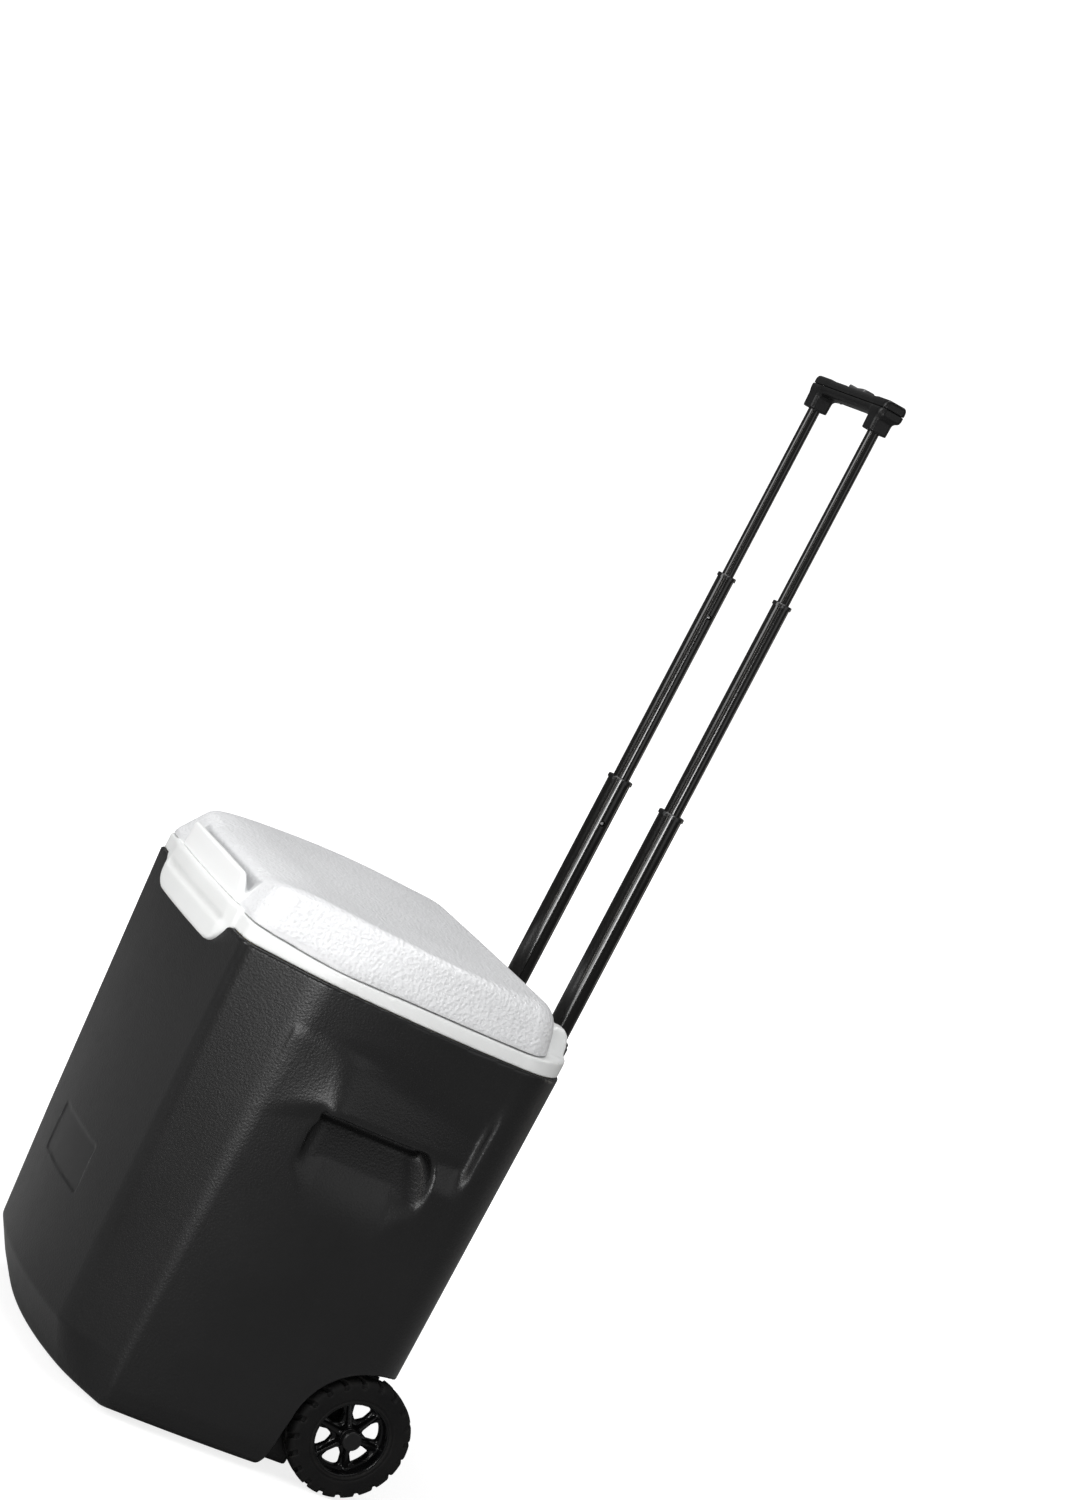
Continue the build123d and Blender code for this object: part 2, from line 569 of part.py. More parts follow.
# ------------------------------------------------------------ telescopic handle
for side, s in (("right", 1), ("left", -1)):
    cx = s * TUBE_X
    inward = Plane(origin=(cx, TUBE_Y, 0), x_dir=(0, 1, 0), z_dir=(-s, 0, 0))

    with BuildPart() as outer_tube:
        with BuildSketch(Plane.XY.offset(Z_OUT0)):
            with Locations((cx, TUBE_Y)):
                Circle(R0)
                Circle(R0I, mode=Mode.SUBTRACT)
        extrude(amount=Z_OUT1 - Z_OUT0)
        with BuildSketch(Plane(origin=(cx, TUBE_Y, PIN1_Z), x_dir=(0, 1, 0), z_dir=(-s, 0, 0))):
            Circle(2.6)
        extrude(amount=20, mode=Mode.SUBTRACT)
    outer_tube.part.label = "outer_tube_" + side
    export_step(outer_tube.part, "parts/outer_tube_" + side + ".step")

    for name, z0, z1, ro, ri, own, own_r, lock, lock_r in (
        ("stage1_tube", S1_BOTTOM, Z1 - FLANGE, R1, R1I, PIN1_Z, 2.15, PIN2_Z, 2.3),
        ("stage2_tube", S2_BOTTOM, Z2 - FLANGE, R2, R2I, PIN2_Z, 1.9, PIN3_Z, 2.0),
        ("stage3_tube", S3_BOTTOM, 938.0, R3, R3I, PIN3_Z, 1.55, None, 0),
    ):
        with BuildPart() as tube:
            with BuildSketch(Plane.XY.offset(z0)):
                with Locations((cx, TUBE_Y)):
                    Circle(ro)
                    Circle(ri, mode=Mode.SUBTRACT)
            extrude(amount=z1 - z0)
            # holes for this stage's own lock pin and for the next one's
            with BuildSketch(Plane(origin=(cx, TUBE_Y, own), x_dir=(0, 1, 0), z_dir=(-s, 0, 0))):
                Circle(own_r)
            extrude(amount=20, mode=Mode.SUBTRACT)
            if lock:
                with BuildSketch(Plane(origin=(cx, TUBE_Y, lock), x_dir=(0, 1, 0), z_dir=(-s, 0, 0))):
                    Circle(lock_r)
                extrude(amount=20, mode=Mode.SUBTRACT)
        tube.part.label = name + "_" + side
        export_step(tube.part, "parts/" + name + "_" + side + ".step")

    for name, z1, r_flange, r_sleeve, r_bore, depth in (
        ("outer_collar", Z_OUT1 + 4.0, 13.0, R0I - 0.1, R1 + 0.35, 24.0),
        ("stage1_collar", Z1, 11.0, R1I - 0.1, R2 + 0.35, 24.0),
        ("stage2_collar", Z2, 8.2, R2I - 0.1, R3 + 0.3, 22.0),
    ):
        top = 4.0 if name == "outer_collar" else FLANGE
        with BuildPart() as collar:
            with BuildSketch(Plane.XY.offset(z1 - top)):
                with Locations((cx, TUBE_Y)):
                    Circle(r_flange)
            extrude(amount=top)
            chamfer(collar.faces().sort_by(Axis.Z)[-1].edges(), 0.7)
            with BuildSketch(Plane.XY.offset(z1 - top - depth)):
                with Locations((cx, TUBE_Y)):
                    Circle(r_sleeve)
            extrude(amount=depth)
            with BuildSketch(Plane.XY.offset(z1 - top - depth - 1)):
                with Locations((cx, TUBE_Y)):
                    Circle(r_bore)
            extrude(amount=depth + top + 2, mode=Mode.SUBTRACT)
        collar.part.label = name + "_" + side
        export_step(collar.part, "parts/" + name + "_" + side + ".step")

    for name, z0, r_flange, r_insert, top, pin_z, bore_r, bore_0 in (
        ("stage1_plug", S1_BOTTOM, 10.7, R1I - 0.1, 352.0, PIN1_Z, 2.1, 1.5),
        ("stage2_plug", S2_BOTTOM, 8.4, R2I - 0.1, 557.0, PIN2_Z, 1.85, 0.8),
        ("stage3_plug", S3_BOTTOM, 5.85, R3I - 0.1, 747.0, PIN3_Z, 1.5, 0.5),
    ):
        with BuildPart() as plug:
            with BuildSketch(Plane.XY.offset(z0 - 3)):
                with Locations((cx, TUBE_Y)):
                    Circle(r_flange)
            extrude(amount=3)
            with BuildSketch(Plane.XY.offset(z0)):
                with Locations((cx, TUBE_Y)):
                    Circle(r_insert)
            extrude(amount=top - z0)
            with BuildSketch(Plane(origin=(cx - s * bore_0, TUBE_Y, pin_z), x_dir=(0, 1, 0), z_dir=(-s, 0, 0))):
                Circle(bore_r)
            extrude(amount=20, mode=Mode.SUBTRACT)
        plug.part.label = name + "_" + side
        export_step(plug.part, "parts/" + name + "_" + side + ".step")

    for name, pin_z, r_pin, a, b in (
        ("lock_pin1", PIN1_Z, 2.0, 3.0, 10.6),
        ("lock_pin2", PIN2_Z, 1.75, 2.2, 8.3),
        ("lock_pin3", PIN3_Z, 1.4, 1.6, 5.8),
    ):
        with BuildPart() as pin:
            with BuildSketch(Plane(origin=(cx - s * a, TUBE_Y, pin_z), x_dir=(0, 1, 0), z_dir=(-s, 0, 0))):
                Circle(r_pin)
            extrude(amount=b - a)
            fillet(pin.faces().sort_by(Axis.X)[0 if s > 0 else -1].edges(), 0.6)
        pin.part.label = name + "_" + side
        export_step(pin.part, "parts/" + name + "_" + side + ".step")

    with BuildPart() as release_rod:
        with BuildSketch(Plane.XY.offset(752)):
            with Locations((cx, TUBE_Y)):
                Circle(1.5)
        extrude(amount=BAR_TOP - 3.0 - 752)
    release_rod.part.label = "release_rod_" + side
    export_step(release_rod.part, "parts/release_rod_" + side + ".step")

# ------------------------------------------------------------ grip
grip_c = (GRIP_Y0 + GRIP_Y1) / 2
grip_d = GRIP_Y1 - GRIP_Y0
grip_screw_spots = [(38, 157.5), (-38, 157.5)]

with BuildPart() as grip_lower:
    with BuildSketch(Plane.XY.offset(BAR_Z0)):
        with Locations((0, grip_c)):
            RectangleRounded(2 * GRIP_X, grip_d, 5)
    extrude(amount=BAR_SPLIT - BAR_Z0)
    chamfer(grip_lower.faces().sort_by(Axis.Z)[0].edges(), 2.5)
    with BuildSketch(Plane.XY.offset(Z3)):
        with Locations((TUBE_X, TUBE_Y), (-TUBE_X, TUBE_Y)):
            RectangleRounded(POST, POST, 3.5)
    extrude(amount=BAR_Z0 + 2.6 - Z3)
    # hollow of the bar
    with BuildSketch(Plane.XY.offset(947)):
        with Locations((0, 152.25)):
            RectangleRounded(126, 18.1, 3)
    extrude(amount=10, mode=Mode.SUBTRACT)
    # screw bosses
    with BuildSketch(Plane.XY.offset(946)):
        with Locations(*grip_screw_spots):
            Circle(3.4)
    extrude(amount=BAR_SPLIT - 946)
    # seats of the tubes, wells of the springs, way of the rods
    with BuildSketch(Plane.XY.offset(Z3 - 1)):
        with Locations((TUBE_X, TUBE_Y), (-TUBE_X, TUBE_Y)):
            Circle(R3 + 0.02)
    extrude(amount=938 - Z3 + 1, mode=Mode.SUBTRACT)
    with BuildSketch(Plane.XY.offset(937)):
        with Locations((TUBE_X, TUBE_Y), (-TUBE_X, TUBE_Y)):
            Circle(4.9)
    extrude(amount=12, mode=Mode.SUBTRACT)
    with BuildSketch(Plane.XY.offset(BAR_Z0 - 1)):
        with Locations(*grip_screw_spots):
            Circle(2.4)
    extrude(amount=3.4, mode=Mode.SUBTRACT)
    with BuildSketch(Plane.XY.offset(BAR_Z0)):
        with Locations(*grip_screw_spots):
            Circle(1.35)
    extrude(amount=10, mode=Mode.SUBTRACT)
grip_lower.part.label = "grip_lower"
export_step(grip_lower.part, "parts/grip_lower.step")

with BuildPart() as grip_upper:
    with BuildSketch(Plane.XY.offset(BAR_SPLIT)):
        with Locations((0, grip_c)):
            RectangleRounded(2 * GRIP_X, grip_d, 5)
    extrude(amount=BAR_Z1 - BAR_SPLIT)
    fillet(grip_upper.faces().sort_by(Axis.Z)[-1].edges(), 3.5)
    with BuildSketch(Plane.XY.offset(BAR_SPLIT - 1)):
        with Locations((0, 152.25)):
            RectangleRounded(126, 18.1, 3)
    extrude(amount=5.8, mode=Mode.SUBTRACT)
    with BuildSketch(Plane.XY.offset(BAR_SPLIT)):
        with Locations(*grip_screw_spots):
            Circle(3.4)
    extrude(amount=5.5)
    with BuildSketch(Plane.XY.offset(BAR_SPLIT - 1)):
        with Locations(*grip_screw_spots):
            Circle(1.3)
    extrude(amount=5.0, mode=Mode.SUBTRACT)
    # opening for the button
    with BuildSketch(Plane.XY.offset(BAR_SPLIT)):
        with Locations((0, 151.5)):
            RectangleRounded(33, 13, 5)
    extrude(amount=12, mode=Mode.SUBTRACT)
grip_upper.part.label = "grip_upper"
export_step(grip_upper.part, "parts/grip_upper.step")

with BuildPart() as grip_screws:
    with BuildSketch(Plane.XY.offset(BAR_Z0 + 0.2)):
        with Locations(*grip_screw_spots):
            Circle(2.3)
    extrude(amount=2.0)
    with BuildSketch(Plane.XY.offset(BAR_Z0 + 2.2)):
        with Locations(*grip_screw_spots):
            Circle(1.25)
    extrude(amount=8.6)
grip_screws.part.label = "grip_screws"
export_step(grip_screws.part, "parts/grip_screws.step")

with BuildPart() as release_button:
    with BuildSketch(Plane.XY.offset(BAR_TOP)):
        with Locations((0, 151.5)):
            RectangleRounded(32, 12, 4.6)
    extrude(amount=BUTTON_Z1 - BAR_TOP)
    fillet(release_button.faces().sort_by(Axis.Z)[-1].edges(), 1.2)
release_button.part.label = "release_button"
export_step(release_button.part, "parts/release_button.step")

with BuildPart() as release_bar:
    with BuildSketch(Plane.XY.offset(BAR_TOP - 3.0)):
        with Locations((0, TUBE_Y)):
            RectangleRounded(123, 7, 3)
    extrude(amount=3.0)
release_bar.part.label = "release_bar"
export_step(release_bar.part, "parts/release_bar.step")

with BuildPart() as button_springs:
    for s in (1, -1):
        with BuildLine(Plane(origin=(s * TUBE_X, TUBE_Y, 938.5), x_dir=(1, 0, 0), z_dir=(0, 0, 1))):
            coil = Helix(pitch=2.9, height=14.5, radius=4.1)
        with BuildSketch(Plane(origin=coil @ 0, z_dir=coil % 0)):
            Circle(0.4)
        sweep(path=coil, is_frenet=True)
button_springs.part.label = "button_springs"
export_step(button_springs.part, "parts/button_springs.step")
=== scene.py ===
import json
import math

import bpy
import numpy as np
from mathutils import Matrix, Vector


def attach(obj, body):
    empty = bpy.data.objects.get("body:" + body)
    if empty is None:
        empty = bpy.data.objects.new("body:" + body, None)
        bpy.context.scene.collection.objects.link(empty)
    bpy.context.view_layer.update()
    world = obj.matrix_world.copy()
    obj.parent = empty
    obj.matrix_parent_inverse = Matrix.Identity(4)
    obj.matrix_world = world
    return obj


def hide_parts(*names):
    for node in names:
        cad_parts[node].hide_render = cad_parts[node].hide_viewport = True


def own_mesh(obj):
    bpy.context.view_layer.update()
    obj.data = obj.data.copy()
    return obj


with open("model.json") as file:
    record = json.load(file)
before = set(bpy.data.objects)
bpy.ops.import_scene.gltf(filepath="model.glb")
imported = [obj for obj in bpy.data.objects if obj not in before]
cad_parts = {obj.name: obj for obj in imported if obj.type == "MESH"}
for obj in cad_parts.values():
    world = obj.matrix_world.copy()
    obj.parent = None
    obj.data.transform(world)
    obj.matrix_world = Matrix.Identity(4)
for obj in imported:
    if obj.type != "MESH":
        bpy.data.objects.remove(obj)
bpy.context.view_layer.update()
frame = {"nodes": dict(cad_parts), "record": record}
nodes = frame["nodes"]
MM = 0.001

# ---------------------------------------------------------------- camera
# Placed as the photograph was taken: 65.5 degrees round from the front, just
# above the horizon, and rolled, because the cooler is tilted there.
AZ, EL, ROLL = math.radians(65.49), math.radians(3.92), math.radians(27.65)
fwd = Vector((-math.sin(AZ) * math.cos(EL), math.cos(AZ) * math.cos(EL), -math.sin(EL)))
right0 = Vector((math.cos(AZ), math.sin(AZ), 0.0))
down0 = fwd.cross(right0)
c, s = math.cos(ROLL), math.sin(ROLL)
right = right0 * c - down0 * s
down = right0 * s + down0 * c
cam_data = bpy.data.cameras.new("camera")
cam_data.sensor_width = 36.0
cam_data.lens = 81.6
cam_data.clip_start, cam_data.clip_end = 0.05, 60.0
cam = bpy.data.objects.new("camera", cam_data)
bpy.context.scene.collection.objects.link(cam)
cam.matrix_world = Matrix((
    (right.x, -down.x, -fwd.x, 2.4664),
    (right.y, -down.y, -fwd.y, -1.0761),
    (right.z, -down.z, -fwd.z, 0.7725),
    (0, 0, 0, 1)))
bpy.context.scene.camera = cam


# ---------------------------------------------------------------- field helpers
# Moulded pieces are built as signed distance fields, in millimetres, and
# turned into quads, so every edge and junction is rounded as a mould does it.
def smax(a, b, r):
    h = np.maximum(r - np.abs(a - b), 0.0) / r
    return np.maximum(a, b) + h * h * r * 0.25


def smin(a, b, r):
    return -smax(-a, -b, r)


def surface(field, lo, hi, h, name):
    """Quads on the zero level of a field, by surface nets."""
    n = [int(math.ceil((hi[i] - lo[i]) / h)) + 1 for i in range(3)]
    xs = (lo[0] + h * np.arange(n[0], dtype=np.float32))[:, None, None]
    ys = (lo[1] + h * np.arange(n[1], dtype=np.float32))[None, :, None]
    zs = (lo[2] + h * np.arange(n[2], dtype=np.float32))[None, None, :]
    f = field(xs, ys, zs).astype(np.float32)
    f = np.broadcast_to(f, n)
    inside = f < 0
    cells = np.zeros([k - 1 for k in n], bool)
    acc = np.zeros(cells.shape + (3,), np.float32)
    cnt = np.zeros(cells.shape, np.float32)
    quads = []
    for ax in range(3):
        a = [slice(None)] * 3
        b = [slice(None)] * 3
        a[ax], b[ax] = slice(0, -1), slice(1, None)
        fa, fb = f[tuple(a)], f[tuple(b)]
        cross = inside[tuple(a)] != inside[tuple(b)]
        idx = np.argwhere(cross)
        if not len(idx):
            continue
        va, vb = fa[cross], fb[cross]
        t = va / (va - vb)
        pos = idx.astype(np.float32)
        pos[:, ax] += t
        o1, o2 = [k for k in range(3) if k != ax]
        # the four cells round each crossing edge
        ok = ((idx[:, o1] > 0) & (idx[:, o2] > 0) & (idx[:, o1] < n[o1] - 1) & (idx[:, o2] < n[o2] - 1))
        idx, pos, sign = idx[ok], pos[ok], (va[ok] < 0)
        ring = []
        for d1, d2 in ((-1, -1), (0, -1), (0, 0), (-1, 0)):
            cell = idx.copy()
            cell[:, o1] += d1
            cell[:, o2] += d2
            flat = np.ravel_multi_index(cell.T, cells.shape)
            np.add.at(acc.reshape(-1, 3), flat, pos)
            np.add.at(cnt.reshape(-1), flat, 1.0)
            ring.append(flat)
        q = np.stack(ring, 1)
        flip = sign if ax != 1 else ~sign
        q[~flip] = q[~flip][:, ::-1]
        quads.append(q)
    used = np.flatnonzero(cnt.reshape(-1) > 0)
    remap = np.full(cnt.size, -1, np.int64)
    remap[used] = np.arange(len(used))
    co = acc.reshape(-1, 3)[used] / cnt.reshape(-1)[used][:, None]
    co = (np.array(lo, np.float32) + co * h) * MM
    faces = remap[np.concatenate(quads)]
    return mesh_object(name, co, faces)


def mesh_object(name, co, faces, smooth=True):
    me = bpy.data.meshes.new(name)
    co = np.asarray(co, np.float32)
    faces = np.asarray(faces, np.int32)
    me.vertices.add(len(co))
    me.vertices.foreach_set("co", co.reshape(-1))
    k = faces.shape[1]
    me.loops.add(faces.size)
    me.loops.foreach_set("vertex_index", faces.reshape(-1))
    me.polygons.add(len(faces))
    me.polygons.foreach_set("loop_start", np.arange(0, faces.size, k, dtype=np.int32))
    me.update(calc_edges=True)
    me.validate()
    if smooth:
        me.shade_smooth()
    ob = bpy.data.objects.new(name, me)
    bpy.context.scene.collection.objects.link(ob)
    return ob


def box2(u, v, cu, cv, hu, hv, r):
    """Rounded rectangle in a plane."""
    qu, qv = np.abs(u - cu) - (hu - r), np.abs(v - cv) - (hv - r)
    return np.hypot(np.maximum(qu, 0), np.maximum(qv, 0)) + np.minimum(np.maximum(qu, qv), 0) - r


# ---------------------------------------------------------------- body outline
BODY = np.array([
    (3.0, -124.0, 112.0, -107.0, 143.0, -90.0, 147.0, 134.5, 46.0),
    (12.0, -130.5, 113.0, -114.0, 149.0, -92.0, 153.0, 134.5, 46.0),
    (24.0, -138.0, 114.0, -124.0, 150.0, -93.0, 155.0, 134.5, 46.0),
    (46.0, -150.0, 115.5, -137.0, 150.5, -94.0, 156.0, 134.5, 46.0),
    (145.0, -155.0, 120.5, -143.0, 153.0, -95.0, 160.0, 134.5, 48.0),
    (372.0, -160.0, 131.0, -155.0, 158.0, -95.0, 168.0, 134.5, 52.0)])


def rows_at(rows, z, soften):
    """The outline's numbers at each height, with the creases between rows softened."""
    z = np.asarray(z, float)
    out = []
    for k in range(1, rows.shape[1]):
        tot = 0
        for dz, w in ((-1.5, 0.2), (-0.75, 0.25), (0, 0.1), (0.75, 0.25), (1.5, 0.2)):
            tot = tot + w * np.interp(z + dz * soften, rows[:, 0], rows[:, k])
        out.append(tot.astype(np.float32))
    return out


def plan_field(rows, x, y, z, soften=1.0, r_soft=7.0, r_hard=3.0):
    """Signed distance to the tapered outline, close to the surface."""
    yc, xs, ys, xh, yh, wm, yr, rr = rows_at(rows, z, soften)
    dz = 1.0
    up, dn = rows_at(rows, z + dz, soften), rows_at(rows, z - dz, soften)
    lean_f = (up[0] - dn[0]) / (2 * dz)
    lean_s = (up[5] - dn[5]) / (2 * dz)
    ax = np.abs(x)
    k = (ys - yc) / (xs * xs)
    front = (yc + k * ax * ax) - y
    front = front / np.sqrt(1 + (2 * k * ax) ** 2 + lean_f ** 2)
    nx, ny = yh - ys, -(xh - xs)
    ln = np.sqrt(nx * nx + ny * ny)
    lean_d = ((up[3] - dn[3]) * nx + (up[4] - dn[4]) * ny) / ln / (2 * dz)
    facet = (nx * (ax - xs) + ny * (y - ys)) / ln / np.sqrt(1 + lean_d ** 2)
    cy = yr - rr
    ym = 0.5 * (yh + cy) - 8.0
    # the side as a bow through three points
    t = np.clip(y, -125.0, 140.0)
    l0 = (t - ym) * (t - cy) / ((yh - ym) * (yh - cy))
    l1 = (t - yh) * (t - cy) / ((ym - yh) * (ym - cy))
    l2 = (t - yh) * (t - ym) / ((cy - yh) * (cy - ym))
    xside = xh * l0 + wm * l1 + (wm - 3.0) * l2
    x0 = wm - 3.0 - rr
    corner = np.hypot(np.maximum(ax - x0, 0), y - cy) - rr
    side = np.where(y > cy, corner, (ax - xside) / np.sqrt(1 + lean_s ** 2 + 0.004))
    d = smax(front, facet, r_soft)
    return smax(d, side, r_hard)


def bar_face(y, z):
    """x of the side bar's outer face."""
    t = (z - 281.5) / 55.0
    t = np.clip(t, 0.0, 1.05)
    xb = 174.0 - (y + 50.0) * 20.5 / 137.0
    xt = 164.5 - (y + 62.0) * 12.5 / 149.0
    return xb + (xt - xb) * t


def body_field(x, y, z):
    ax = np.abs(x)
    out = plan_field(BODY, x, y, z)
    out = smax(out, 3.0 - z, 6.0)
    # the badge's place on the front, a plain shallow recess
    badge = smax(-(out + 0.9), box2(ax, z, 0.0, 145.0, 51.0, 20.0, 3.0), 0.8)
    badge = np.maximum(badge, y + 120.0)
    out = smax(out, -badge, 0.8)

    # side bar: falls back into the wall at the rear
    xf = bar_face(y, z)
    face = (ax - xf) / 1.02
    air = smax(-face, y - 86.0, 8.0)
    deep = 166.5 - 3.0 * ((y + 14.0) / 97.0) ** 2 - ax
    air = smax(air, 0.53 * (z - 338.0) + 0.85 * deep, 10.0)
    air = smax(air, 0.64 * (258.0 - z + 0.12 * (87.0 - y)) + 0.77 * deep, 14.0)
    out = smax(out, -air, 6.0)
    # and stands out of it at the front
    t = np.clip((z - 270.5) / 57.5, 0.0, 1.05)
    fb = 0.9165 * (ax - 160.5) - 0.40 * (y + 70.0)
    ft = 0.9755 * (ax - 162.5) - 0.22 * (y + 59.0)
    flank = fb + (ft - fb) * t
    bar = smax(face, flank, 4.0)
    under = 280.5 + 0.56 * np.minimum(y + 52.0, 0.0) - z + 0.02 * (y + 50.0)
    bar = smax(bar, under, 9.0 + 9.0 * np.clip((-44.0 - y) / 30.0, 0.0, 1.0))
    bar = smax(bar, z - 331.0, 8.0)
    bar = np.maximum(bar, 145.0 - ax)
    bar = np.maximum(bar, np.maximum(y - 87.0, -93.0 - y))
    out = smin(out, bar, 6.0)
    # hand pocket: a ramp that leads in under the bar, and a slot behind it
    ramp = 0.424 * (z - 230.0) + 0.906 * (ax - 163.0)
    pocket = smax(-ramp, 141.0 - ax, 4.0)
    pocket = smax(pocket, box2(y, z, 7.0, 240.0, 59.0, 41.5, 20.0), 5.0)
    pocket = smax(pocket, 0.82 * (y - 66.0) + 0.573 * (163.0 - ax), 16.0)
    pocket = smax(pocket, 0.90 * (-53.0 - y) + 0.436 * (163.0 - ax), 14.0)
    slot = smax(141.0 - ax, ax - (bar_face(y, z) - 7.5), 3.0)
    slot = smax(slot, box2(y, z, 1.0, 287.5, 47.0, 12.5, 5.0), 3.0)
    soft = np.clip((262.0 - z) / 22.0, 0.0, 1.0) * np.clip((54.0 - y) / 20.0, 0.0, 1.0) * np.clip((y + 46.0) / 20.0, 0.0, 1.0)
    out = smax(out, -smin(pocket, slot, 3.0), 4.0 + 10.0 * soft * soft * (3 - 2 * soft))

    # recess round the axle, open to the rear and below
    away = np.hypot(y - 107.5, z - 50.0) - 54.0
    circle = np.maximum(away + 2.4 * np.clip((y - 106.0) / 20.0, 0.0, 1.0), 124.0 - ax)
    circle = np.minimum(circle, np.maximum(away, 81.0 - y))
    rear = np.maximum(np.maximum(107.5 - y, z - 104.0), ax - 122.0)
    low = np.maximum(81.0 - y, z - 50.0)
    arch = np.maximum(np.maximum(49.5 + (z - 8.0) * 0.095 - y, z - 50.0), 124.0 - ax)
    recess = np.minimum(np.minimum(circle, rear), np.minimum(low, arch))
    out = smax(out, -recess, 2.5)

    # the wall, open at the top
    shell = np.maximum(out, -(out + 5.0))
    # ribs that carry the axle
    web = np.maximum(np.abs(y - 107.5) - (12.0 + (z - 50.0) * 0.09), np.maximum(50.0 - z, z - 105.0))
    rib = np.minimum(np.hypot(y - 107.5, z - 50.0) - 12.0, web)
    rib = smax(rib, np.abs(ax - 101.0) - 5.0, 1.5)
    shell = smin(shell, rib, 2.5)
    shell = smax(shell, z - 372.0, 1.0)
    # front feet
    foot = smax(np.hypot(ax - 88.0, y + 82.0) - 12.0, np.maximum(-z, z - 4.5), 1.5)
    return smin(shell, foot, 1.5)


H = 1.5
body = surface(body_field, (-178, -168, -3), (178, 140, 376), H, "body_shell_moulding")
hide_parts("body_shell")
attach(body, "cooler")

# ---------------------------------------------------------------- rim and tub
def dip(ax, y):
    """How far the seam between rim and lid drops along the sides."""
    side = np.clip((ax - 118.0) / 34.0, 0.0, 1.0)
    side = side * side * (3 - 2 * side)
    along = 1.6 + 1.9 * np.exp(-((y + 84.0) / 42.0) ** 2)
    return side * along * np.clip((112.0 - y) / 30.0, 0.0, 1.0)


def poly2(u, v, pts):
    """Signed distance to a closed polygon, where u and v are one plane's axes."""
    u, v = np.broadcast_arrays(u, v)
    d = np.full(u.shape, 1e9, np.float32)
    inside = np.zeros(u.shape, bool)
    for (ax_, ay), (bx, by) in zip(pts, pts[1:] + pts[:1]):
        ex, ey = bx - ax_, by - ay
        wx, wy = u - ax_, v - ay
        t = np.clip((wx * ex + wy * ey) / (ex * ex + ey * ey), 0, 1)
        d = np.minimum(d, (wx - t * ex) ** 2 + (wy - t * ey) ** 2)
        crosses = ((ay <= v) & (by > v)) | ((by <= v) & (ay > v))
        at = ax_ + (v - ay) * (ex / (ey if ey else 1e-9))
        inside ^= crosses & (u < at)
    return np.where(inside, -np.sqrt(d), np.sqrt(d))


def tub_hollow(x, y, z):
    t = np.clip((z - 120.0) / 266.0, 0.0, 1.0)
    hu, hv = 121.3 + 9.0 * t, 98.3 + 9.0 * t
    qu, qv = np.abs(x) - (hu - 30.0), np.abs(y + 11.0) - (hv - 30.0)
    wide = np.hypot(np.maximum(qu, 0), np.maximum(qv, 0)) + np.minimum(np.maximum(qu, qv), 0) - 30.0
    wide = smax(wide, 122.2 - z, 12.0)
    s = np.clip((z - 68.0) / 52.0, 0.0, 1.0)
    y0, y1 = -107.8 - 1.5 * s, 34.3 + 3.5 * s
    hu, hv, cy = 117.8 + 3.5 * s, 0.5 * (y1 - y0), 0.5 * (y0 + y1)
    qu, qv = np.abs(x) - (hu - 26.0), np.abs(y - cy) - (hv - 26.0)
    deep = np.hypot(np.maximum(qu, 0), np.maximum(qv, 0)) + np.minimum(np.maximum(qu, qv), 0) - 26.0
    deep = smax(deep, 70.2 - z, 14.0)
    return smin(wide, smax(deep, z - 130.0, 1.0), 9.0)


EAR = [(107.6, 380.0), (107.6, 400.0), (109.6, 404.6), (113.4, 407.2), (119.5, 407.2), (124.0, 403.6), (127.0, 397.0),
       (129.0, 387.5), (129.0, 380.0)]


def rim_field(x, y, z):
    ax = np.abs(x)
    d = plan_field(BODY, x, y, np.minimum(z, 371.0) + 0 * x, 1.0, 9.0, 5.0)
    top = z - 386.0 + dip(ax, y) * np.clip((d + 12.0) / 6.0, 0.0, 1.0)
    band = smax(smax(d + 1.5, top, 1.1), 372.3 - z, 0.6)
    # the tab over the front panel, with a step across it
    slant = 0.69 * (ax - 76.0) - 0.723 * (z - 350.0)
    flat = smax(smax(350.0 - z, slant, 9.0), z - 387.4, 1.0)
    flat = smax(flat, ax - 100.0, 3.0)
    s = np.clip((z - 366.5) / 6.5, 0.0, 1.0)
    s = s * s * (3 - 2 * s)
    e = np.clip((84.0 - ax) / 9.0, 0.0, 1.0)
    e = e * e * (3 - 2 * e)
    proud = 4.0 - 2.1 * s - 1.1 * np.exp(-((z - 372.2) / 2.6) ** 2) * e
    fade = np.clip((ax - 78.0) / 20.0, 0.0, 1.0)
    proud = proud - (proud - 0.2) * fade * fade * (3 - 2 * fade)
    tab = smax(d - proud, flat, 3.2)
    tab = np.maximum(tab, y + 120.0)
    tab = np.maximum(tab, np.where(z < 372.6, -2.5 - d, -6.0 - d))
    out = smin(band, tab, 4.0)
    # ears that hold the hinge pins
    ear = poly2(y, z, [(p[0], p[1]) for p in EAR]) - 0.4
    ear = smax(ear, np.abs(ax - 119.5) - 7.6, 3.0)
    out = smin(out, ear, 4.0)
    tub = smax(tub_hollow(x, y, z) - 4.0, z - 384.0, 1.0)
    tub = np.maximum(tub, 66.0 - z)
    out = np.minimum(out, tub)
    return smax(out, -tub_hollow(x, y, np.minimum(z, 386.0)), 1.6)


rim = surface(rim_field, (-170, -168, 63), (170, 136, 411), 1.5, "rim_and_tub")
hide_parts("liner_tub")
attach(rim, "cooler")

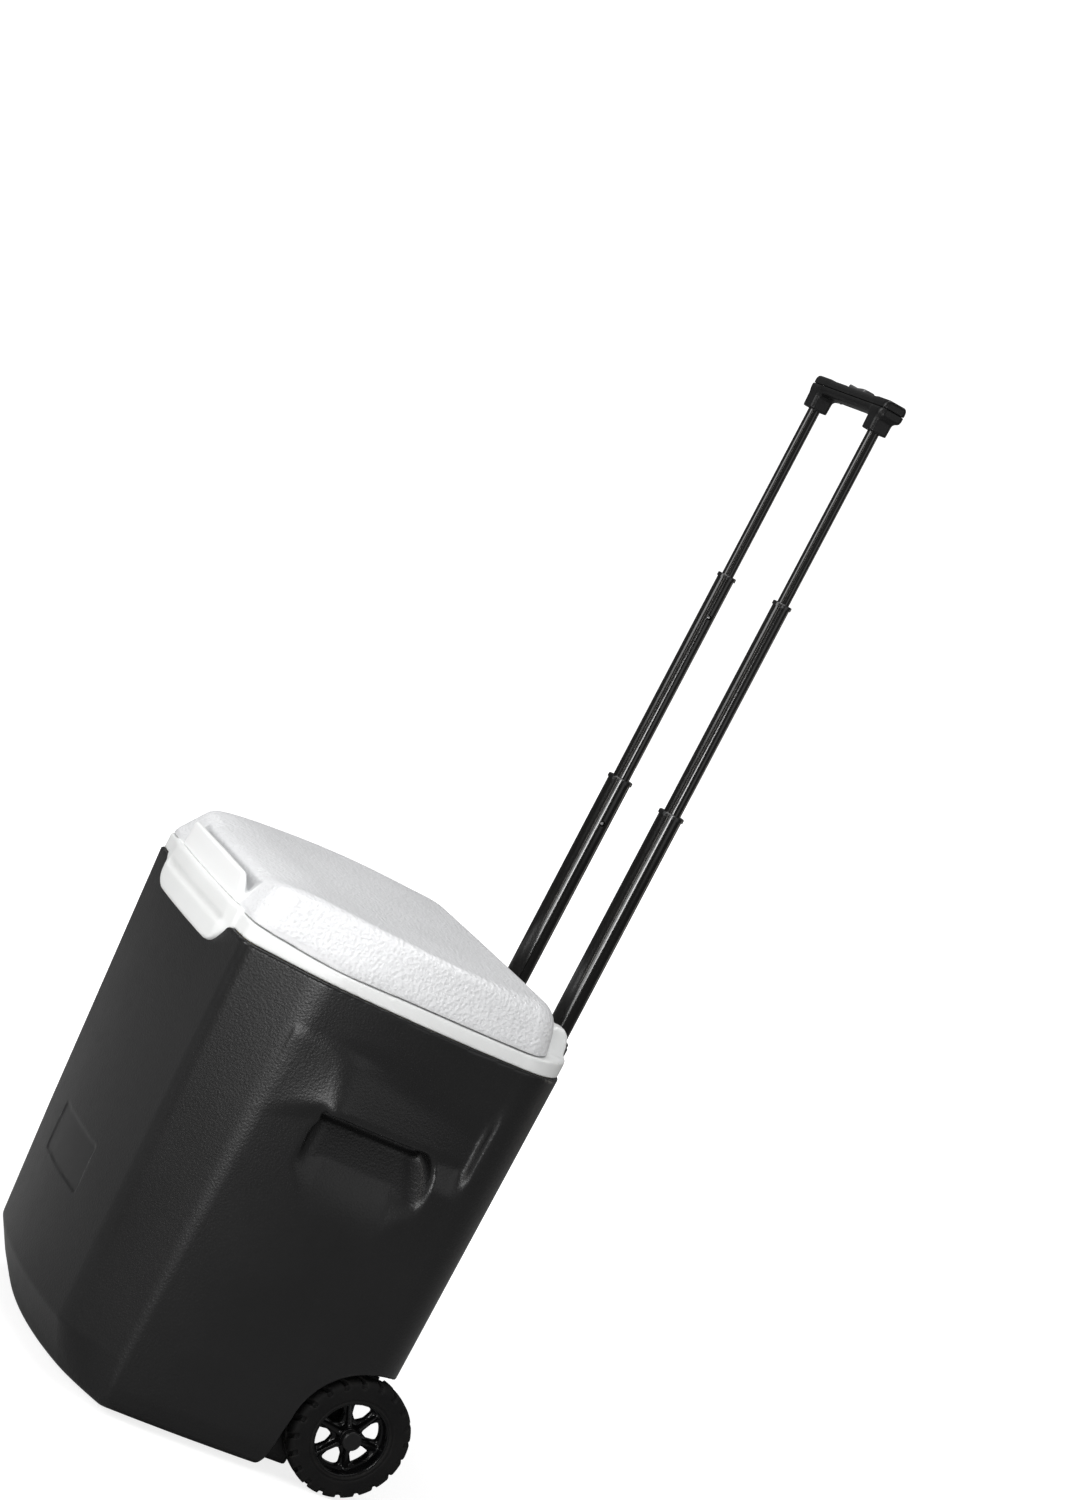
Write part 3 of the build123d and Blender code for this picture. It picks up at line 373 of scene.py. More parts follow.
# ---------------------------------------------------------------- lid
LID = np.array([
    (386.0, -154.2, 130.0, -153.8, 156.5, -94.0, 166.5, 106.0, 25.0),
    (392.0, -152.8, 129.5, -152.6, 156.2, -93.8, 166.0, 105.8, 25.0),
    (417.0, -140.4, 115.0, -140.4, 143.3, -78.0, 158.5, 103.8, 28.0),
    (425.0, -136.4, 109.0, -136.4, 138.5, -74.0, 156.0, 103.2, 30.0)])


def lid_top(ax, y):
    t = np.clip((-93.0 - y) / 50.0, 0.0, 1.35)
    w = 1.0 - 0.75 * np.clip((ax - 72.0) / 40.0, 0.0, 1.0)
    return 423.4 - 9.4 * t * t * w - 0.6 * (ax / 155.0) ** 2 - 0.9 * ((y + 10.0) / 120.0) ** 2


def lid_hull(x, y, z):
    """Outside of the lid without its lip: the edge between side and top is
    crisp at the front and melts into a crown at the rear."""
    side = plan_field(LID, x, y, z, 2.2, 14.0, 9.0)
    blend = np.clip((y - 5.0) / 85.0, 0.0, 1.0)
    return smax(side, (z - lid_top(np.abs(x), y)) * 0.97, 6.5 + 13.0 * blend * blend * (3 - 2 * blend))


def lid_field(x, y, z):
    ax = np.abs(x)
    hull = lid_hull(x, y, z)
    main = hull
    # hinge notches beside the ears
    notch = smax(smax(np.abs(ax - 119.5) - 9.6, 105.6 - y, 2.0), 385.0 - z, 0.5)
    main = smax(main, -notch, 1.5)
    # lip: a pull edge that stands away from the bevel behind it
    front = (-157.7 + 4.5 * (ax / 130.0) ** 2 - 0.09 * (z - 388.0)) - y
    back = 0.917 * (y + 155.2 - 2.4 * (1 - (ax / 75.0) ** 2) * 0.5) + 0.398 * (z - 411.0)
    end = 0.931 * (ax - 84.0) + 0.364 * (z - 388.0)
    lip = smax(smax(smax(front, back, 1.8), z - 410.6, 2.6), end, 5.5)
    groove = smax(-(0.911 * -(y + 143.0) + 0.4115 * (z - 411.3)) - 0.0, ax - 80.0 + 0.5 * (z - 396.0), 2.5)
    main = smax(main, -smax(groove, 395.5 - z, 3.0), 2.0)
    out = smin(main, lip, 3.0)
    low = 387.0 - dip(ax, y) + 0.9 * np.clip((88.0 - ax) / 4.0, 0.0, 1.0) * np.clip((-140.0 - y) / 10.0, 0.0, 1.0) - z
    out = smax(out, low, 0.6)
    # knuckles
    nd = smin(np.hypot(y - 115.0, z - 400.0) - 7.0, smax(np.abs(z - 400.5) - 7.6, np.abs(y - 108.0) - 7.0, 1.0), 2.0)
    kn = smax(nd, np.abs(ax - 104.5) - 6.6, 1.2)
    out = smin(out, kn, 2.5)
    # hollow underside
    inner = smax(hull + 4.4, y - 99.0, 1.0)
    return smax(out, -inner, 0.8)


lid = surface(lid_field, (-170, -163, 380), (170, 126, 428), 1.2, "lid_cover")
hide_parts("lid_shell")
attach(lid, "lid")


def lid_foam_field(x, y, z):
    """Foam that fills the lid, down into its plug."""
    out = smax(smax(lid_hull(x, y, z) + 5.2, 391.8 - z, 1.0), y - 98.0, 1.0)
    plug = smax(box2(x, y, 0.0, -11.0, 122.0, 99.0, 23.0), np.maximum(387.0 - z, z - 394.0), 1.0)
    return smin(out, plug, 2.0)


foam_piece = surface(lid_foam_field, (-166, -156, 384), (166, 106, 420), 2.4, "lid_foam_block")
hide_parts("lid_foam")
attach(foam_piece, "lid")


def pan_field(x, y, z):
    """The lid's inner face: a flat flange, a plug that fits the tub, and a raised field."""
    d = plan_field(LID, x, y, 392.0 + 0 * z + 0 * x, 1.0, 14.0, 9.0)
    flange = smax(d + 3.4, np.abs(z - 389.8) - 1.6, 1.0)
    plug = box2(x, y, 0.0, -11.0, 127.5, 104.5, 28.0)
    skirt = smax(plug, np.maximum(379.2 - z, z - 390.0), 3.0)
    out = smin(flange, skirt, 3.0)
    hollow = smax(box2(x, y, 0.0, -11.0, 118.0, 95.0, 20.0), z - 382.4, 2.0)
    out = smax(out, -hollow, 3.0)
    field_ = smax(box2(x, y, 0.0, -11.0, 96.0, 73.0, 14.0), np.maximum(380.6 - z, z - 386.0), 2.5)
    out = smin(out, field_, 3.0)
    return smax(out, -smax(box2(x, y, 0.0, -11.0, 123.0, 100.0, 24.0), 386.2 - z, 1.0), 1.0)


pan = surface(pan_field, (-167, -156, 376), (167, 108, 393), 1.4, "lid_inner_face")
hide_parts("lid_pan")
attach(pan, "lid")


# ---------------------------------------------------------------- wheels
def hub_field(x, y, z):
    """Right-hand hub, x outwards from the middle of the cooler."""
    dy, dz = y - 107.5, z - 50.0
    r = np.hypot(dy, dz)
    a = np.arctan2(dz, dy)
    ring = smax(np.abs(r - 31.1) - 1.9, np.maximum(131.2 - x, x - 153.5), 1.0)
    ring = smin(ring, smax(np.abs(r - 31.2) - 3.4, np.abs(x - 141.0) - 2.2, 1.0), 3.0)
    web = smax(r - 30.5, np.abs(x - (139.9 + 0.00 * r)) - 2.6, 1.2)
    # six openings between narrow spokes
    step = math.pi / 3
    off = (a - math.radians(24.0) + step / 2) % step - step / 2
    u, v = r * np.cos(off), r * np.sin(off)
    half = np.clip((u - 10.5) * 0.85, 0.0, 5.0) + np.clip(u - 15.5, 0.0, 9.0) * 0.36
    hole = smax(np.abs(v) - half, np.maximum(11.8 - u, r - 27.0), 4.5)
    web = smax(web, -hole, 1.6)
    # spokes swell towards the boss
    spoke = smax(smax(np.abs(r * np.sin((a - math.radians(54.0) + step / 2) % step - step / 2)) - (2.3 - 0.02 * r),
                      x - (150.5 - 0.22 * r), 1.6), np.maximum(138.0 - x, r - 30.0), 1.0)
    boss = smax(r - (9.3 - 0.10 * (x - 138.0)), np.maximum(108.2 - x, x - 151.2), 1.4)
    boss = smax(boss, np.where(x < 137.0, r - 8.0, -5.0), 0.6)
    out = smin(smin(ring, web, 2.5), smin(spoke, boss, 2.5), 1.6)
    return smax(out, 4.3 - r, 0.4)


def tyre_field(x, y, z):
    dy, dz = y - 107.5, z - 50.0
    r = np.hypot(dy, dz)
    a = np.arctan2(dz, dy)
    w = np.abs(x - 142.0)
    # tyre section: flat tread, rounded shoulder, bead at the hub
    crown = 49.95 - 0.0045 * w * w
    sec = smax(r - crown, w - (13.0 - 0.010 * np.maximum(r - 40.0, 0) ** 2), 4.2)
    sec = smax(sec, 30.5 - r, 1.6)
    sec = smax(sec, -smax(np.abs(r - 33.6) - 0.55, 12.2 - w, 0.4), 0.5)
    # blocks: bars across the tread, staggered, that run down the shoulder
    n = 20
    pitch = 2 * math.pi / n
    phase = np.where(x > 142.0, 0.0, pitch / 2)
    skew = (w - 6.0) * 0.010
    o = (a + phase + skew + pitch / 2) % pitch - pitch / 2
    gap = smax(np.abs(r * o) - 2.1, np.maximum(46.4 - r + 0.14 * np.maximum(12.0 - w, 0), 1.2 - w), 1.2)
    side = smax(np.abs(r * o) - 2.0, np.maximum(43.4 - r, 11.3 - w), 0.9)
    zig = 1.1 * np.sin(a * n)
    mid = smax(np.abs(x - 142.0 - zig) - 1.3, 48.3 - r, 0.9)
    sec = smax(sec, -np.minimum(np.minimum(gap, side), mid), 0.7)
    return smax(sec, -smax(r - 33.1, w - 10.9, 0.6), 0.4)


for side_name, sgn in (("right", 1.0), ("left", -1.0)):
    def mirrored(f):
        return lambda x, y, z: f(sgn * x, y, z)
    x_lo, x_hi = (106, 156.5) if sgn > 0 else (-156.5, -106)
    hub = surface(mirrored(hub_field), (x_lo, 73, 15.5), (x_hi, 142, 84.5), 0.65, "hub_" + side_name)
    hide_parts("wheel_" + side_name)
    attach(hub, "wheel_" + side_name)
    x_lo, x_hi = (127.5, 156.5) if sgn > 0 else (-156.5, -127.5)
    tread = surface(mirrored(tyre_field), (x_lo, 55.5, -2), (x_hi, 159.5, 102), 0.7, "tread_" + side_name)
    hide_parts("tyre_" + side_name)
    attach(tread, "wheel_" + side_name)
    if sgn > 0:
        hubs, treads = [hub], [tread]
    else:
        hubs.append(hub)
        treads.append(tread)


# ---------------------------------------------------------------- grip
def grip_box(x, y, z):
    """Outside of the whole grip."""
    ax = np.abs(x)
    bar = np.maximum(box2(ax, y, 0.0, 152.25, 68.0, 11.75, 5.5), -90.0)
    yz = box2(y, z, 152.25, 952.0, 11.75, 7.5, 5.2)
    bar = smax(bar, yz, 3.0)
    # the middle, where the hand goes, is a little slimmer than the ends
    mid = box2(y, z, 152.25, 952.0, 11.2, 7.1, 5.6)
    t = np.clip((ax - 38.0) / 8.0, 0.0, 1.0)
    bar = bar * t + smax(bar, mid, 1.0) * (1 - t)
    post = box2(ax, y, 56.5, 149.5, 9.0 - 0.02 * np.clip(944 - z, 0, 20), 9.0 - 0.02 * np.clip(944 - z, 0, 20), 4.0)
    post = smax(post, np.maximum(931.5 - z, z - 950.0), 1.2)
    return smin(bar, post, 3.5)


def lower_field(x, y, z):
    ax = np.abs(x)
    out = smax(grip_box(x, y, z), z - 951.85, 0.5)
    hollow = smax(box2(x, y, 0.0, 152.25, 63.0, 9.0, 3.0), 947.0 - z, 0.8)
    boss = np.hypot(ax - 38.0, y - 157.5) - 3.4
    hollow = smax(hollow, -boss, 0.6)
    out = smax(out, -hollow, 0.6)
    bore = np.hypot(ax - 56.5, y - 149.5)
    out = smax(out, -(bore - 5.1), 0.6)
    seat = smax(np.hypot(ax - 38.0, y - 157.5) - 2.5, z - 946.9, 0.4)
    return smax(out, -seat, 0.4)


def upper_field(x, y, z):
    ax = np.abs(x)
    out = smax(grip_box(x, y, z), 952.15 - z, 0.5)
    hollow = smax(box2(x, y, 0.0, 152.25, 63.0, 9.0, 3.0), z - 956.8, 0.8)
    boss = np.hypot(ax - 38.0, y - 157.5) - 3.4
    hollow = smax(hollow, -boss, 0.6)
    out = smax(out, -hollow, 0.6)
    opening = box2(x, y, 0.0, 151.5, 16.6, 6.6, 5.0)
    return smax(out, -opening, 0.9)


gh = 0.7
grip_low = surface(lower_field, (-70, 138, 929), (70, 166, 954), gh, "grip_bottom_half")
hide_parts("grip_lower")
grip_up = surface(upper_field, (-70, 138, 950), (70, 166, 962), gh, "grip_top_half")
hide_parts("grip_upper")


def button_field(x, y, z):
    """Release button with a shallow finger dish across its top."""
    d = box2(x, y, 0.0, 151.5, 16.0, 6.0, 4.6)
    top = z - 961.4 + 1.0 * np.exp(-(x / 9.0) ** 2)
    out = smax(smax(d, top, 1.4), 956.6 - z, 0.3)
    for k in (-2, -1, 0, 1, 2):
        out = smax(out, -(np.hypot(x - 2.6 * k, z - 961.1 + 0.8 * math.exp(-(2.6 * k / 9.0) ** 2)) - 0.55), 0.4)
    return out


button = surface(button_field, (-18, 144, 955), (18, 159, 963), 0.35, "button_top")
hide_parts("release_button")
for ob, body_name, slot_name in ((grip_low, "stage3", "grip_plastic"), (grip_up, "stage3", "grip_plastic"),
                                 (button, "release", "button_plastic")):
    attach(ob, body_name)


def coil(cx, cy, z0, height, pitch, radius, wire, k=26, m=8):
    """Wire of one helical spring: rings of points along the helix, and its quads."""
    n = int(round(height / pitch * k)) + 1
    t = np.arange(n) / k * 2 * math.pi
    mid = np.stack([cx + radius * np.cos(t), cy + radius * np.sin(t), z0 + height * np.arange(n) / (n - 1)], 1)
    out_dir = np.stack([np.cos(t), np.sin(t), 0 * t], 1)
    rise = pitch / (2 * math.pi * radius)
    along = np.stack([-np.sin(t), np.cos(t), rise + 0 * t], 1) / math.sqrt(1 + rise * rise)
    third = np.cross(along, out_dir)
    a = np.arange(m) / m * 2 * math.pi
    ring = out_dir[:, None] * np.cos(a)[None, :, None] + third[:, None] * np.sin(a)[None, :, None]
    co = (mid[:, None] + wire * ring).reshape(-1, 3)
    i, j = np.meshgrid(np.arange(n - 1), np.arange(m), indexing="ij")
    i, j = i.reshape(-1), j.reshape(-1)
    faces = np.stack([i * m + j, i * m + (j + 1) % m, (i + 1) * m + (j + 1) % m, (i + 1) * m + j], 1)
    ends = []
    for base in (0, (n - 1) * m):
        ends += [[base, base + 1, base + 2, base + 3], [base + 3, base + 4, base + 7, base], [base + 4, base + 5, base + 6, base + 7]]
    return co, np.concatenate([faces, np.array(ends)])


co_r, faces_r = coil(56.5, 149.5, 938.5, 14.5, 2.9, 4.1, 0.4)
co_l, faces_l = coil(-56.5, 149.5, 938.5, 14.5, 2.9, 4.1, 0.4)
springs = mesh_object("button_return_coils", np.concatenate([co_r, co_l]) * MM, np.concatenate([faces_r, faces_l + len(co_r)]))
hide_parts("button_springs")
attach(springs, "stage3")

# ---------------------------------------------------------------- surface data
def read(ob, what):
    n = len(ob.data.vertices)
    a = np.empty(n * 3, np.float32)
    ob.data.vertices.foreach_get(what, a)
    return a.reshape(-1, 3)


def attribute(ob, name, values):
    at = ob.data.attributes.new(name, "FLOAT", "POINT")
    at.data.foreach_set("value", np.ascontiguousarray(values, np.float32))


def wear_attribute(ob, radius):
    """How sharply each vertex stands out, in [0, 1], for the wear on edges."""
    co, no = read(ob, "co"), read(ob, "normal")
    n = len(co)
    e = np.empty(len(ob.data.edges) * 2, np.int32)
    ob.data.edges.foreach_get("vertices", e)
    e = e.reshape(-1, 2)
    d = co[e[:, 0]] - co[e[:, 1]]
    k = ((no[e[:, 0]] - no[e[:, 1]]) * d).sum(1) / np.maximum((d * d).sum(1), 1e-12)
    cnt = np.maximum(np.bincount(e.reshape(-1), minlength=n), 1)
    v = (np.bincount(e[:, 0], k, n) + np.bincount(e[:, 1], k, n)) / cnt
    for _ in range(2):
        v = 0.5 * v + 0.5 * (np.bincount(e[:, 0], v[e[:, 1]], n) + np.bincount(e[:, 1], v[e[:, 0]], n)) / cnt
    attribute(ob, "wear", np.clip(v * MM * radius, 0, 1))


def ramp01(v, a, b):
    t = np.clip((v - a) / (b - a), 0, 1)
    return t * t * (3 - 2 * t)


for ob, r_edge in ((body, 4.0), (rim, 3.0), (lid, 3.5), (pan, 3.0), (grip_low, 1.5), (grip_up, 1.5), (button, 1.0),
                   (hubs[0], 1.2), (hubs[1], 1.2), (treads[0], 1.4), (treads[1], 1.4)):
    wear_attribute(ob, r_edge)

# grain: all over the outer body except in the badge's place, and on the lid
# except on its lip
p = read(body, "co") / MM
flat = (np.abs(p[:, 0]) < 52) & (np.abs(p[:, 2] - 145) < 21) & (p[:, 1] < -120)
attribute(body, "grain", np.where(flat, 0.25, 1.0))
p = read(lid, "co") / MM
ax = np.abs(p[:, 0])
on_lip = ramp01(87.0 - ax, 0.0, 6.0) * ramp01(-p[:, 1] - 143.0, 0.0, 5.0)
low = ramp01(391.0 - p[:, 2], 0.0, 3.0) * ramp01(-60.0 - p[:, 1], 0.0, 60.0)
attribute(lid, "grain", (1 - on_lip) * (1 - 0.8 * low))
# the lip's mask, where its painted highlight goes
attribute(lid, "lip", on_lip)
# painted shade: the valley behind the lid's lip is darkened in colour, standing in for the lip's shadow
attribute(lid, "painted_shade", ramp01(83.0 - ax, 0.0, 3.0) * ramp01(p[:, 1] + 153.6, 0.0, 1.5)
          * ramp01(-142.2 - p[:, 1], 0.0, 2.2) * ramp01(413.4 - p[:, 2], 0.0, 3.0))
p = read(rim, "co") / MM
ax = np.abs(p[:, 0])
# painted shade: a grey band across the tab at its step, standing in for the step's shadow
attribute(rim, "painted_shade", ramp01(84.0 - ax, 0.0, 9.0) * np.exp(-((p[:, 2] - 371.6) / 2.4) ** 2) * ramp01(-150.0 - p[:, 1], 0.0, 4.0) * 0.55)
p = read(pan, "co") / MM
attribute(pan, "grain", np.where((np.abs(p[:, 0]) < 95) & (np.abs(p[:, 1] + 11) < 72), 0.8, 0.0))


# ---------------------------------------------------------------- materials
class Graph:
    """Small helper to write shader graphs."""

    def __init__(self, name):
        self.mat = bpy.data.materials.new(name)
        self.mat.use_nodes = True
        self.nt = self.mat.node_tree
        self.nt.nodes.clear()
        out = self.new("ShaderNodeOutputMaterial")
        self.bsdf = self.new("ShaderNodeBsdfPrincipled")
        self.link(self.bsdf.outputs[0], out.inputs[0])
        self.pos = self.new("ShaderNodeTexCoord").outputs["Object"]

    def new(self, kind, **props):
        n = self.nt.nodes.new(kind)
        for k, v in props.items():
            setattr(n, k, v)
        return n

    def link(self, a, b):
        self.nt.links.new(a, b)

    def put(self, node, key, v):
        if isinstance(v, bpy.types.NodeSocket):
            self.link(v, node.inputs[key])
        else:
            node.inputs[key].default_value = v

    def scaled(self, v):
        n = self.new("ShaderNodeMapping")
        self.link(self.pos, n.inputs[0])
        n.inputs["Scale"].default_value = v
        return n.outputs[0]

    def noise(self, scale, detail=3.0, rough=0.55, vec=None, distort=0.0):
        n = self.new("ShaderNodeTexNoise")
        self.link(vec or self.pos, n.inputs["Vector"])
        n.inputs["Scale"].default_value = scale
        n.inputs["Detail"].default_value = detail
        n.inputs["Roughness"].default_value = rough
        n.inputs["Distortion"].default_value = distort
        return n.outputs[0]

    def cells(self, scale, vec=None, smooth=0.6, rand=0.9):
        n = self.new("ShaderNodeTexVoronoi", feature="SMOOTH_F1")
        self.link(vec or self.pos, n.inputs["Vector"])
        n.inputs["Scale"].default_value = scale
        n.inputs["Smoothness"].default_value = smooth
        n.inputs["Randomness"].default_value = rand
        return n.outputs["Distance"]

    def warped(self, amount, scale):
        n = self.new("ShaderNodeTexNoise")
        self.link(self.pos, n.inputs["Vector"])
        n.inputs["Scale"].default_value = scale
        n.inputs["Detail"].default_value = 2.0
        s = self.new("ShaderNodeVectorMath", operation="SCALE")
        self.link(n.outputs["Color"], s.inputs[0])
        s.inputs["Scale"].default_value = amount
        a = self.new("ShaderNodeVectorMath", operation="ADD")
        self.link(self.pos, a.inputs[0])
        self.link(s.outputs[0], a.inputs[1])
        return a.outputs[0]

    def remap(self, v, a, b, c, d, smooth=False):
        n = self.new("ShaderNodeMapRange")
        if smooth:
            n.interpolation_type = "SMOOTHSTEP"
        self.link(v, n.inputs["Value"])
        for k, t in (("From Min", a), ("From Max", b), ("To Min", c), ("To Max", d)):
            n.inputs[k].default_value = t
        return n.outputs[0]

    def math(self, op, a, b=0.0):
        n = self.new("ShaderNodeMath", operation=op)
        self.put(n, 0, a)
        self.put(n, 1, b)
        return n.outputs[0]

    def mix(self, fac, a, b):
        n = self.new("ShaderNodeMix", data_type="RGBA")
        self.put(n, 0, fac)
        self.put(n, 6, a if isinstance(a, bpy.types.NodeSocket) else (*a, 1.0))
        self.put(n, 7, b if isinstance(b, bpy.types.NodeSocket) else (*b, 1.0))
        return n.outputs[2]

    def attr(self, name):
        n = self.new("ShaderNodeAttribute", attribute_name=name)
        return n.outputs["Fac"]

    def bump(self, height, distance, strength=1.0, normal=None):
        n = self.new("ShaderNodeBump")
        n.inputs["Strength"].default_value = strength
        n.inputs["Distance"].default_value = distance
        self.link(height, n.inputs["Height"])
        if normal:
            self.link(normal, n.inputs["Normal"])
        return n.outputs[0]

    def finish(self, color, rough, normal=None, metallic=0.0, spec=0.5, coat=0.0, coat_rough=0.1, sub=0.0):
        b = self.bsdf
        self.put(b, "Base Color", color)
        self.put(b, "Roughness", rough)
        b.inputs["Metallic"].default_value = metallic
        b.inputs["Specular IOR Level"].default_value = spec
        b.inputs["Coat Weight"].default_value = coat
        b.inputs["Coat Roughness"].default_value = coat_rough
        if normal:
            self.link(normal, b.inputs["Normal"])
        return self.mat


def tone(c, k):
    return tuple(min(v * k, 1.0) for v in c)


def plastic(name, color, rough, grain=0.0, cell=700.0, spread=0.10, edge=(0.12, 0.12, 0.12), edge_mix=0.35,
            spec=0.5, wave=0.00010, masked=False, scuff=0.05, coat=0.0, cloudy=0.05, groove=None, painted_lip_highlight=None):
    """Moulded plastic: cloudy tone, speckle, grain, flow waviness, rubbed edges and light scuffs, with painted shade
    where a shade mask is set and a painted highlight on a lip when asked for.
    """
    g = Graph(name)
    cloud = g.noise(11.0, 3.0, 0.5)
    speck = g.noise(1400.0, 2.0, 0.6)
    base = g.mix(g.remap(cloud, 0.32, 0.68, 0, 1), tone(color, 1 - spread), tone(color, 1 + spread))
    base = g.mix(g.remap(speck, 0.58, 0.75, 0, 0.25), base, tone(color, 1 + 2.5 * spread))
    rub = g.noise(55.0, 4.0, 0.65)
    worn = g.math("MULTIPLY", g.attr("wear"), g.remap(rub, 0.35, 0.62, 0.15, 1.0))
    base = g.mix(g.math("MULTIPLY", worn, edge_mix), base, edge)
    # painted highlight: the lip is made whiter than the rest of the lid, standing in for the light on its front
    if painted_lip_highlight:
        base = g.mix(g.attr("lip"), base, painted_lip_highlight)
    # painted shade: where the shade mask is set, the colour is mixed towards a darker grey that stands in for shadow
    if groove:
        base = g.mix(g.math("MULTIPLY", g.attr("painted_shade"), g.remap(rub, 0.3, 0.7, 0.75, 1.0)), base, groove)
    # fine scuffs, drawn out in one direction
    lines = g.noise(60.0, 5.0, 0.7, vec=g.scaled((1.0, 1.0, 14.0)), distort=0.8)
    marks = g.remap(lines, 0.66, 0.74, 0.0, 1.0)
    base = g.mix(g.math("MULTIPLY", marks, scuff), base, tone(edge, 1.3))
    r = g.math("ADD", g.remap(cloud, 0.3, 0.7, rough - cloudy, rough + cloudy), g.remap(rub, 0.3, 0.7, -0.8 * cloudy, cloudy))
    r = g.math("SUBTRACT", r, g.math("MULTIPLY", worn, 0.10))
    n = g.bump(g.noise(24.0, 2.0, 0.5), wave)
    if grain:
        soft = g.cells(cell, g.warped(0.0012, 420.0), 0.85)
        h = g.math("ADD", soft, g.math("MULTIPLY", g.noise(cell * 1.9, 2.0, 0.5), 0.5))
        if masked:
            h = g.math("MULTIPLY", h, g.attr("grain"))
        n = g.bump(h, grain, 1.0, n)
    else:
        n = g.bump(speck, 0.000012, 1.0, n)
    return g.finish(base, r, n, spec=spec, coat=coat)


def metal(name, color, rough, brushed=(1.0, 1.0, 0.03), spread=0.08, scratch=0.12, metallic=1.0, spec=0.5, tint=None,
          fine=2600.0, depth=0.000010, coat=0.0, even=1.0):
    """Drawn or plated metal: fine lines along one axis, handling marks, small bright scratches."""
    g = Graph(name)
    lines = g.noise(fine, 2.0, 0.6, vec=g.scaled(brushed))
    cloud = g.noise(16.0, 3.0, 0.55)
    base = g.mix(g.remap(lines, 0.35, 0.65, 0, 1), tone(color, 1 - spread), tone(color, 1 + spread))
    base = g.mix(g.remap(cloud, 0.35, 0.7, 0.0, 0.5), base, tone(color, 1 - 2 * spread))
    sc = g.noise(90.0, 6.0, 0.75, vec=g.scaled((1.0, 1.0, 0.2)), distort=1.2)
    marks = g.remap(sc, 0.68, 0.73, 0.0, 1.0)
    base = g.mix(g.math("MULTIPLY", marks, scratch), base, tint or tone(color, 3.0))
    r = g.math("ADD", g.remap(cloud, 0.3, 0.7, rough - 0.04 * even, rough + 0.05 * even),
               g.remap(lines, 0.3, 0.7, -0.02 * even, 0.03 * even))
    n = g.bump(lines, depth)
    return g.finish(base, r, n, metallic=metallic, spec=spec, coat=coat)


def rubber():
    g = Graph("tyre_rubber")
    cloud = g.noise(30.0, 4.0, 0.6)
    fine = g.noise(900.0, 3.0, 0.7)
    base = g.mix(g.remap(cloud, 0.3, 0.7, 0, 1), (0.0055, 0.0055, 0.0058), (0.0095, 0.0093, 0.0091))
    # dust that stays in the pores and on the tread's edges
    dust = g.math("MULTIPLY", g.attr("wear"), g.remap(g.noise(120.0, 4.0, 0.7), 0.35, 0.65, 0.1, 1.0))
    base = g.mix(g.math("MULTIPLY", dust, 0.45), base, (0.032, 0.031, 0.029))
    base = g.mix(g.remap(fine, 0.6, 0.8, 0, 0.25), base, (0.022, 0.021, 0.020))
    r = g.remap(cloud, 0.3, 0.7, 0.58, 0.72)
    n = g.bump(g.cells(900.0, g.warped(0.001, 500.0), 0.7), 0.00005, 1.0, g.bump(cloud, 0.00008))
    return g.finish(base, r, n, spec=0.09)


def foam(name):
    """Cut face of rigid insulating foam: small closed cells."""
    g = Graph(name)
    a = g.cells(420.0, None, 0.2)
    b = g.noise(45.0, 4.0, 0.6)
    base = g.mix(g.remap(b, 0.3, 0.7, 0, 1), (0.74, 0.66, 0.44), (0.86, 0.80, 0.58))
    base = g.mix(g.remap(a, 0.25, 0.6, 0.0, 0.5), base, (0.62, 0.53, 0.33))
    return g.finish(base, g.remap(b, 0.3, 0.7, 0.8, 0.95), g.bump(a, 0.0003, 1.0, g.bump(b, 0.0004)), spec=0.2)


